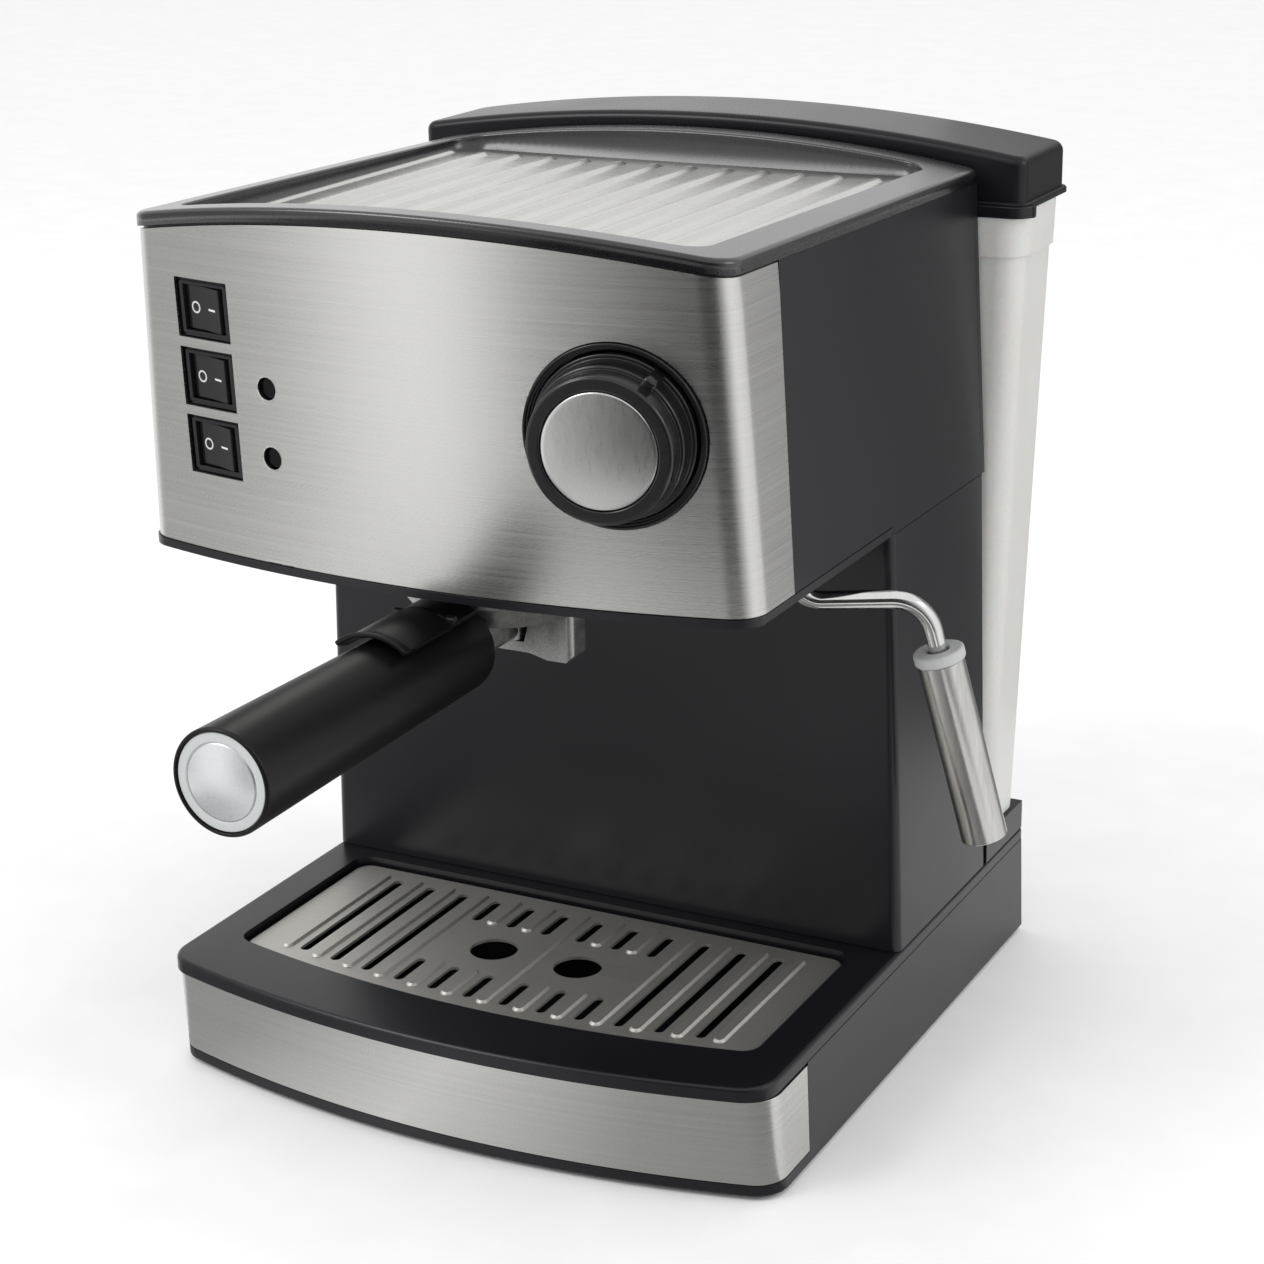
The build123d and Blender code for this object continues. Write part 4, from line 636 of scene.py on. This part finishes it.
plate_x = lines(-plate_half, plate_half, 0.55, -plate_half + 0.6, plate_half - 0.6)
over = np.clip(np.abs(plate_x) - (plate_half - plate_corner), 0, plate_corner)
corner_fall = plate_corner - np.sqrt(plate_corner**2 - over**2)
near, far = bow(plate_x) - plate_front + corner_fall, plate_rear - corner_fall
share = np.linspace(0, 1, 150)[:, None]
plate_y = near + (far - near) * share
plate_x = np.broadcast_to(plate_x, plate_y.shape)
plate_z = PLATE_TOP + rib_height(plate_x, plate_y, RIB_PITCH, bow(plate_x) - plate_front + RIB_END,
                                 plate_rear - RIB_END, RIB_WIDE, RIB_EDGE, RIB_HIGH)
make_piece("cup_shelf_plate", np.stack([plate_x, plate_y, plate_z], -1), shelf_steel, "machine",
           ["cup_plate"], away_from=(0.0, -40.0, 100.0), thick=PLATE_THICK)

# %% [markdown]
# ## Tank lid
# A shallow black cap covers the tank. Its plan is a long rounded rectangle, its top is a wide
# arch, and its long edges are rounded over. The rows of the grid go up the wall, round the edge
# and in to the middle line of the top. A lip hooks over the tank's front collar.

# %% Tank lid
LID_HALF, LID_NEAR, LID_FAR, LID_CORNER = 107.3, 57.0, 96.0, 4.0
LID_LOW, LID_APEX, LID_RISE = 254.9, 279.0, 8.6
LID_EDGE = 2.6
LID_WALL = 2.2
FLANGE_PROUD, FLANGE_TALL = 1.5, 1.8


def lid_loop(grow, squeeze=1.0):
    """A rounded rectangle grown by a margin, and squeezed towards its long middle line."""
    corner = max(LID_CORNER + grow, 0.5)
    quarter = np.linspace(0, np.pi / 2, 9)
    side = np.linspace(0, 1, 60)[1:-1]
    cx, cy = LID_HALF + grow - corner, (LID_FAR - LID_NEAR) / 2 + grow - corner
    arc_x, arc_y = cx + corner * np.cos(quarter), cy + corner * np.sin(quarter)
    x = np.concatenate([arc_x, cx * (1 - 2 * side), -arc_x[::-1], -arc_x, cx * (2 * side - 1), arc_x[::-1]])
    y = np.concatenate([arc_y, np.full(side.size, cy + corner), arc_y[::-1], -arc_y,
                        np.full(side.size, -cy - corner), -arc_y[::-1]])
    return x, y * squeeze + (LID_NEAR + LID_FAR) / 2


def lid_arch(x, drop=0.0):
    """Height of the lid's top at x: a circle of radius Rl across the machine."""
    radius = (LID_HALF**2 + LID_RISE**2) / (2 * LID_RISE)
    return LID_APEX - radius + np.sqrt((radius - drop) ** 2 - x**2)


def lid_row(grow, level=None, drop=0.0, squeeze=1.0):
    """One loop of the lid, level or at drop below its arch."""
    x, y = lid_loop(grow, squeeze)
    return np.stack([x, y, lid_arch(x, drop) if level is None else np.full(x.size, level)], -1)


lid_rows = [lid_row(-LID_WALL, drop=LID_WALL, squeeze=s) for s in (0.0, 0.5, 1.0)]
lid_rows += [lid_row(-LID_WALL, level=LID_LOW), lid_row(FLANGE_PROUD, level=LID_LOW),
             lid_row(FLANGE_PROUD, level=LID_LOW + FLANGE_TALL - 0.4),
             lid_row(FLANGE_PROUD - 0.4, level=LID_LOW + FLANGE_TALL),
             lid_row(0, level=LID_LOW + FLANGE_TALL)]
lid_rows += [lid_row(-LID_EDGE * (1 - np.cos(a)), drop=LID_EDGE * (1 - np.sin(a))) for a in curve]
lid_rows += [lid_row(-LID_EDGE, squeeze=s) for s in (0.8, 0.55, 0.3, 0.0)]
make_piece("tank_lid_shell", np.array(lid_rows), lid_plastic, "tank_lid", ["tank_lid"],
           wrap_columns=True)

LIP_PROUD, LIP_LOW, LIP_HIGH, LIP_END, LIP_THICK = 2.9, 252.2, 255.9, 72.0, 2.4
lip_x, lip_y = lid_loop(LIP_PROUD)
start = np.argmin(np.where(lip_x > 0, np.abs(lip_y - LIP_END), 1e9))
around = np.roll(np.arange(lip_x.size), -start)
hook = around[lip_y[around] < LIP_END]
lip = [np.stack([lip_x[hook], lip_y[hook], np.full(hook.size, level)], -1) for level in (LIP_LOW, LIP_HIGH)]
make_piece("tank_lid_lip", np.array(lip), black_plastic, "tank_lid", away_from=(0.0, 76.0, 254.0),
           thick=LIP_THICK, bevel=0.4)

# %% [markdown]
# ## Steam knob
# The knob is turned from one profile, a skirt and a front ring with eased edges, and a domed
# steel cap sits in the ring. The bezel round it is a dish with three fine steps that each catch
# a line of light. All share the axis of the knob's joint.

# %% Steam knob
knob_at, knob_across, knob_up, knob_out = panel_plane(*KNOB)
bezel_profile = rounded([(3.6, -8.5), (25.3, -8.5), (25.3, 0.9), (24.5, 0.9), (24.5, 0.3), (23.9, 0.3),
                         (23.9, -0.6), (23.3, -0.6), (23.3, -7.0), (3.6, -7.0)],
                        [0.3, 0.25, 0.2, 0.1, 0.1, 0.1, 0.1, 0.2], 3)
make_piece("knob_dish", turned(bezel_profile, knob_at, knob_out), gloss_plastic, "machine", ["knob_bezel"],
           wrap_rows=True, wrap_columns=True)
knob_profile = rounded([(3.1, -6.2), (22.7, -6.2), (22.7, 1.4), (21.5, 1.4), (21.1, 7.4), (20.2, 7.4),
                        (19.9, 13.6), (16.15, 13.6), (16.15, 12.0), (3.1, 12.0)],
                       [0.5, 0.5, 0.25, 0.6, 0.25, 0.9, 0.5, 0.15], 5)
make_piece("knob_grip", turned(knob_profile, knob_at, knob_out), gloss_plastic, "steam_knob", ["steam_knob"],
           wrap_rows=True, wrap_columns=True)
cap_radius, dome_rise, dome_top, cap_foot = 15.95, 0.9, 14.3, 12.05
reach = np.linspace(0, cap_radius - 0.5, 20)
dome = np.stack([reach, dome_top - dome_rise * (reach / cap_radius) ** 2], -1)
edge = np.array([(cap_radius - 0.15, 13.28), (cap_radius, 13.0), (cap_radius, cap_foot), (0, cap_foot)])
make_piece("knob_disc", turned(np.concatenate([dome, edge]), knob_at, knob_out), cap_steel, "steam_knob",
           ["knob_cap"], wrap_columns=True)

POINTER_ANGLE = radians(36)
POINTER = (1.9, 2.9, 1.2, 9.4)      # half width, half length, foot and top
block_across = np.cos(POINTER_ANGLE) * knob_across - np.sin(POINTER_ANGLE) * knob_up
block_up = np.sin(POINTER_ANGLE) * knob_across + np.cos(POINTER_ANGLE) * knob_up


def block_row(shrink, height):
    """A rounded square outline in the knob's plane, shrunk, at a height over the panel."""
    angle = np.linspace(0, 2 * np.pi, 40, endpoint=False)
    u = np.sign(np.cos(angle)) * np.abs(np.cos(angle)) ** 0.35 * (POINTER[0] - shrink)
    v = np.sign(np.sin(angle)) * np.abs(np.sin(angle)) ** 0.35 * (POINTER[1] - shrink) + 20.0
    return knob_at + u[:, None] * block_across + v[:, None] * block_up + height * knob_out


block = np.array([block_row(0, POINTER[2]), block_row(0, POINTER[3] - 0.7), block_row(0.2, POINTER[3] - 0.2),
                  block_row(0.7, POINTER[3])])
make_piece("knob_pointer", drawn_to_a_point(block), gloss_plastic, "steam_knob", wrap_columns=True)

# %% [markdown]
# ## Switch marks
# Each rocker carries a white ring for off and a white bar for on, printed on its two faces. The
# ring is a thin turned band and the bar a thin block, and both ride on their own rocker.

# %% Switch marks
ROCKER_HALF, ROCKER_EDGE, ROCKER_DIP = 7.3, -1.05, 0.55
ROCKER_PIVOT, ROCKER_TILT = -5.4, radians(7)
MARK_PLACE = 3.6                    # each way from the middle of a rocker
MARK_TOP, MARK_FOOT = 0.05, -0.03
RING_INSIDE, RING_OUTSIDE = 1.25, 1.75
BAR_LONG, BAR_WIDE = 1.6, 0.28      # halves
mark_white = make_finish("mark_white", "moulding", 900.0, ((0.62, 0.62, 0.62), (0.70, 0.70, 0.70)),
                         (0.40, 0.50), 0.0, 0.002)


def on_rocker(plane, u, v, lift):
    """Points on a tilted rocker's face, which is turned about its pivot by the tilt."""
    origin, across, up, out = plane
    height = ROCKER_EDGE - ROCKER_DIP * (1 - np.abs(u) / ROCKER_HALF) + lift - ROCKER_PIVOT
    a = u * np.cos(ROCKER_TILT) - height * np.sin(ROCKER_TILT)
    h = u * np.sin(ROCKER_TILT) + height * np.cos(ROCKER_TILT) + ROCKER_PIVOT
    return origin + a[..., None] * across + v[..., None] * up + h[..., None] * out


for label, level in zip(("power", "coffee", "steam"), SWITCH_Z):
    plane = panel_plane(SWITCH_X, level)
    angle = np.linspace(0, 2 * np.pi, 40, endpoint=False)[None, :]
    band = np.array([RING_INSIDE, RING_OUTSIDE, RING_OUTSIDE, RING_INSIDE])[:, None]
    lift = np.repeat([MARK_TOP, MARK_FOOT], 2)
    ring_lift = np.broadcast_to(lift[:, None], (lift.size, angle.size))
    ring = on_rocker(plane, -MARK_PLACE + band * np.cos(angle), band * np.sin(angle), ring_lift)
    make_piece("mark_off_" + label, ring, mark_white, "rocker_" + label, wrap_rows=True, wrap_columns=True)
    bar_u, bar_v = np.broadcast_arrays(MARK_PLACE + BAR_LONG * np.array([[-1], [1]]),
                                       BAR_WIDE * np.array([[-1, 1, 1, -1]]))
    bar = on_rocker(plane, bar_u, bar_v, np.broadcast_to(lift, bar_u.shape))
    make_piece("mark_on_" + label, drawn_to_a_point(bar), mark_white, "rocker_" + label, wrap_columns=True)

# %% [markdown]
# ## Handle
# The grip is turned, a little thicker at its free end, with a silver disc let into that end. A
# hood stands over the inner end and carries the hinge of the basket retainer, a curved plate that
# follows the top of the grip. Hood and retainer are closed profiles carried round the grip's axis.

# %% Handle
HANDLE_Z = 150.5
GRIP_START, GRIP_END = -106.0, -224.0
GRIP_RADII = (13.2, 14.7)
grip_long = GRIP_START - GRIP_END
grip_profile = rounded([(0, 0), (GRIP_RADII[0] - 0.2, 0), (GRIP_RADII[1], grip_long), (13.5, grip_long),
                        (13.5, grip_long - 2.2), (0, grip_long - 2.2)], [5.0, 0.9, 0.3, 0.1], 8)
make_piece("handle_body", turned(grip_profile, (0, GRIP_START, HANDLE_Z), (0, -1, 0), 128), grip_plastic,
           "filter_holder", ["handle_grip"], wrap_columns=True)

DISC_STEPS = 128
disc_profile = rounded([(0, -2.1), (13.35, -2.1), (13.35, -0.55), (10.9, -0.55), (10.5, -0.75)],
                       [0.1, 0.35, 0.1], 4)
make_piece("handle_end_ring", turned(disc_profile, (0, GRIP_END, HANDLE_Z), (0, -1, 0), DISC_STEPS), pale_ring,
           "filter_holder", ["handle_end_disc"], wrap_columns=True)
reach = np.linspace(0, 10.6, 18)
dome = np.stack([reach, 0.75 - 1.35 * (reach / 10.6) ** 2], -1)
dome = np.concatenate([dome, [(10.6, -1.5), (0, -1.5)]])
make_piece("handle_end_dome", turned(dome, (0, GRIP_END, HANDLE_Z), (0, -1, 0), DISC_STEPS), satin_silver,
           "filter_holder", wrap_columns=True)


def saddle(profile, half_angle, steps=36):
    """A closed profile of (distance along the handle, radius) swung over the top of the grip."""
    angle = np.linspace(-half_angle, half_angle, steps)[:, None]
    along, radius = profile[None, :, 0], profile[None, :, 1]
    x, z = radius * np.sin(angle), HANDLE_Z + radius * np.cos(angle)
    return drawn_to_a_point(np.stack([x, along + 0 * angle, z], -1))


HOOD = rounded([(-119, 12.5), (-112.6, 12.5), (-112.6, 16.6), (-126.4, 16.6), (-126.4, 12.5), (-119, 12.5)],
               [0.3, 1.6, 1.0, 0.3], 5)[:-1]
make_piece("handle_hood", saddle(HOOD, radians(37)), grip_plastic, "filter_holder", wrap_columns=True)
PLATE = rounded([(-140, 15.1), (-127.6, 15.1), (-127.6, 17.0), (-150, 17.0), (-153.6, 17.9), (-153.6, 16.4),
                 (-150, 15.1), (-140, 15.1)], [0.3, 0.7, 3.0, 0.5, 0.5, 3.0], 5)[:-1]
make_piece("retainer_plate", saddle(PLATE, radians(40)), grip_plastic, "retainer_lever", ["retainer_lever"],
           wrap_columns=True)
KNUCKLE = rounded([(-124, 12.0), (-122.8, 12.0), (-122.8, 16.2), (-129.5, 16.4), (-129.5, 15.2),
                   (-124, 12.0)], [0.3, 0.8, 0.3, 0.3], 4)[:-1]
make_piece("retainer_knuckle", saddle(KNUCKLE, radians(17)), grip_plastic, "retainer_lever",
           wrap_columns=True)

# %% [markdown]
# ## Steam wand
# The wand is one bent tube: down from the swivel, level for a short reach, then down and
# outwards. A grey cap and a steel sleeve slide over its lower end. The tube is a circle carried
# along the path, and the cap and the sleeve are turned round the direction that the sleeve slides in.

# %% Steam wand
WAND_RISE, WAND_REACH, WAND_DROP = 26.0, 38.0, 48.5
WAND_BENDS = [8.0, 13.0]
TUBE_RADIUS, NOZZLE_RADIUS = 2.8, 2.1
COLLAR_PLACE = 16.0                 # down the lower run from its bend
swivel = np.array(joints["wand_swivel"]["pos_m"]) / MM
down = np.array(joints["froth_sleeve_slide"]["axis"])
along = np.array([down[0], down[1], 0.0]) / np.hypot(down[0], down[1])
bend = swivel + along * WAND_REACH
corners_flat = [(0, WAND_RISE), (0, 0), (WAND_REACH, 0),
                (WAND_REACH + WAND_DROP * np.hypot(down[0], down[1]), WAND_DROP * down[2])]
path = rounded(corners_flat, WAND_BENDS, 14)
middle_path = swivel + path[:, :1] * along + path[:, 1:] * np.array([0.0, 0.0, 1.0])
step = np.gradient(middle_path, axis=0)
step /= np.linalg.norm(step, axis=1)[:, None]
beside = np.cross(along, [0.0, 0.0, 1.0])
over = np.cross(step, beside)
tube_radius = np.full(len(path), TUBE_RADIUS)
tube_radius[-1] = NOZZLE_RADIUS
angle = np.linspace(0, 2 * np.pi, 40, endpoint=False)[None, :, None]
round_tube = np.cos(angle) * beside + np.sin(angle) * over[:, None]
tube = middle_path[:, None] + tube_radius[:, None, None] * round_tube
make_piece("wand_pipe", drawn_to_a_point(tube), tube_steel, "wand", ["wand_tube"], wrap_columns=True)

cap_at = bend + down * COLLAR_PLACE
cap_profile = rounded([(3.1, 0.6), (3.7, 0), (7.6, 0), (7.6, 3.6), (6.0, 3.6), (6.0, 10.6), (3.1, 10.6)],
                      [0.2, 0.9, 0.8, 0.1, 0.2], 5)
make_piece("froth_collar", turned(cap_profile, cap_at, down, 72), grey_plastic, "froth_sleeve", ["froth_cap"],
           wrap_rows=True, wrap_columns=True)
sleeve_profile = rounded([(6.5, 3.7), (6.9, 3.7), (6.9, 60.7), (6.1, 60.7), (6.1, 3.7), (6.5, 3.7)],
                         [0.2, 0.25, 0.25, 0.2], 3)[:-1]
make_piece("froth_barrel", turned(sleeve_profile, cap_at, down, 96), sleeve_steel, "froth_sleeve",
           ["froth_sleeve"], wrap_rows=True, wrap_columns=True)

# %% [markdown]
# ## Valve spring
# The spring of the tank's outlet valve is a helix of wire, and its top rests on the tank.

# %% Valve spring
SPRING_WIRE, SPRING_TURNS, SPRING_PRESSED = 0.4, 2.5, 0.48
spring_box = np.array(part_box("valve_spring")) / MM
spring_middle = spring_box.mean(0)
spring_radius = (spring_box[1, 0] - spring_box[0, 0]) / 2 - SPRING_WIRE
share = np.linspace(0, 1, 200)[:, None]
turn = 2 * np.pi * SPRING_TURNS * share
spring_climb = spring_box[1, 2] - spring_box[0, 2] - 2 * SPRING_WIRE
outwards = np.concatenate([np.cos(turn), np.sin(turn), 0 * turn], 1)
wire_line = spring_middle + spring_radius * outwards
wire_line[:, 2:] += (share - 0.5) * spring_climb
wire_up = np.cross(outwards, np.gradient(wire_line, axis=0))
wire_up /= np.linalg.norm(wire_up, axis=1)[:, None]
angle = np.linspace(0, 2 * np.pi, 16, endpoint=False)[None, :, None]
round_wire = np.cos(angle) * outwards[:, None] + np.sin(angle) * wire_up[:, None]
wire = wire_line[:, None] + SPRING_WIRE * round_wire
valve_coil = make_piece("valve_coil", drawn_to_a_point(wire), tube_steel, "water_tank", ["valve_spring"],
                        wrap_columns=True)
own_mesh(valve_coil)

# %% [markdown]
# ## Studio
# A white floor and a white surround show the dark body plainly. Brushed steel shows what is round
# it, so a curved reflector stands in front with bands of grey. The camera doesn't see it and it
# casts no shadow. It only gives the sheets their light and dark passages.

# %% Studio
WHITE = (1.0, 1.0, 1.0, 1.0)
world = bpy.data.worlds.new("surround")
bpy.context.scene.world = world
world.use_nodes = True
world.node_tree.nodes["Background"].inputs["Color"].default_value = WHITE
world.node_tree.nodes["Background"].inputs["Strength"].default_value = 1.0
bpy.context.scene.view_settings.view_transform = "Standard"

floor_paint = make_finish("pale_floor", "moulding", 40.0, ((0.90, 0.90, 0.90), (0.93, 0.93, 0.93)),
                          (0.75, 0.85), 0.0, 0.0)
bpy.ops.mesh.primitive_plane_add(size=12.0)
floor = bpy.context.object
floor.name = "floor"
floor.data.materials.append(floor_paint)


def area_light(name, place, target, size, watts):
    """A square soft light that looks at a target."""
    lamp = bpy.data.lights.new(name, "AREA")
    lamp.size = size
    lamp.energy = watts
    holder = bpy.data.objects.new(name, lamp)
    holder.location = place
    holder.rotation_mode = "QUATERNION"
    holder.rotation_quaternion = (Vector(target) - Vector(place)).to_track_quat("-Z", "Y")
    bpy.context.scene.collection.objects.link(holder)
    return holder


area_light("key_light", (-0.9, -1.1, 1.3), (0.0, -0.05, 0.15), 0.7, 10.0)
area_light("side_light", (1.6, 0.3, 0.9), (0.05, 0.0, 0.12), 0.8, 6.0)

REFLECTOR_MIDDLE = (0.0, -0.13)
REFLECTOR_RADIUS = 0.42
REFLECTOR_TOP = 0.34
TONE_ANGLE = [-95, -80, -60, -50, -42, -34, -24, -18, -12, -4, 10, 60, 78, 92, 132, 143, 152, 170, 180]
TONE = [0.9, 0.5, 0.52, 0.68, 1.0, 1.25, 1.32, 0.95, 0.42, 0.38, 0.04, 0.04, 0.6, 1.1, 0.9, 0.35, 0.22,
        0.3, 0.5]
bearing = np.linspace(TONE_ANGLE[0], TONE_ANGLE[-1], 180)
height = np.linspace(0.004, REFLECTOR_TOP, 5)[:, None]
a = np.radians(bearing)[None, :] + 0 * height
points = np.stack([REFLECTOR_MIDDLE[0] + REFLECTOR_RADIUS * np.sin(a),
                   REFLECTOR_MIDDLE[1] - REFLECTOR_RADIUS * np.cos(a), height + 0 * a], -1)
card_mesh = bpy.data.meshes.new("reflector")
card_faces = grid_faces(*points.shape[:2], False, False)
card_mesh.from_pydata(points.reshape(-1, 3).tolist(), [], card_faces.tolist())
tone = card_mesh.attributes.new("tone", "FLOAT", "POINT")
tone.data.foreach_set("value", np.tile(np.interp(bearing, TONE_ANGLE, TONE), len(height)).astype(np.float32))
card_light = bpy.data.materials.new("reflector_tone")
card_light.use_nodes = True
card_tree = card_light.node_tree
card_tree.nodes.remove(card_tree.nodes["Principled BSDF"])
reading = node(card_tree, "ShaderNodeAttribute", attribute_name="tone")
glow = node(card_tree, "ShaderNodeEmission", {"Color": WHITE, "Strength": reading.outputs["Fac"]})
card_tree.links.new(glow.outputs[0], card_tree.nodes["Material Output"].inputs["Surface"])
card_mesh.materials.append(card_light)
reflector = bpy.data.objects.new("reflector", card_mesh)

MAT_X = [-0.24, -0.10, -0.02, 0.06, 0.24]
MAT_TONE = [0.32, 0.44, 0.90, 0.42, 0.16]
mat_x = np.linspace(MAT_X[0], MAT_X[-1], 60)
mat_y = np.array([-0.46, -0.11])[:, None]
mat = np.stack([mat_x + 0 * mat_y, mat_y + 0 * mat_x, np.full((2, 60), 0.002)], -1)
mat_mesh = bpy.data.meshes.new("floor_reflector")
mat_mesh.from_pydata(mat.reshape(-1, 3).tolist(), [], grid_faces(2, 60, False, False).tolist())
tone = mat_mesh.attributes.new("tone", "FLOAT", "POINT")
tone.data.foreach_set("value", np.tile(np.interp(mat_x, MAT_X, MAT_TONE), 2).astype(np.float32))
mat_mesh.materials.append(card_light)
floor_reflector = bpy.data.objects.new("floor_reflector", mat_mesh)
for card in (reflector, floor_reflector):
    bpy.context.scene.collection.objects.link(card)
    for kind in ("camera", "diffuse", "shadow", "transmission"):
        setattr(card, "visible_" + kind, False)

# %% [markdown]
# ## Camera
# The machine is seen from its right front, from a little above, with a long lens and a slight
# roll. The camera's axes are worked out from the bearing, the height and the roll.

# %% Camera
CAMERA_PLACE = Vector((0.38654, -0.73512, 0.40461))
BEARING, RISE, ROLL = radians(27.79), radians(18.87), radians(-1.05)
LENS, SENSOR = 77.60, 36.0
back = Vector((np.sin(BEARING) * np.cos(RISE), -np.cos(BEARING) * np.cos(RISE), np.sin(RISE)))
right = Vector((np.cos(BEARING), np.sin(BEARING), 0.0))
up = back.cross(right)
tilted_right = np.cos(ROLL) * right + np.sin(ROLL) * up
tilted_up = np.cos(ROLL) * up - np.sin(ROLL) * right
camera_data = bpy.data.cameras.new("camera")
camera_data.lens = LENS
camera_data.sensor_width = SENSOR
camera = bpy.data.objects.new("camera", camera_data)
facing = Matrix((tilted_right, tilted_up, back)).transposed().to_4x4()
camera.matrix_world = Matrix.Translation(CAMERA_PLACE) @ facing
bpy.context.scene.collection.objects.link(camera)
bpy.context.scene.camera = camera
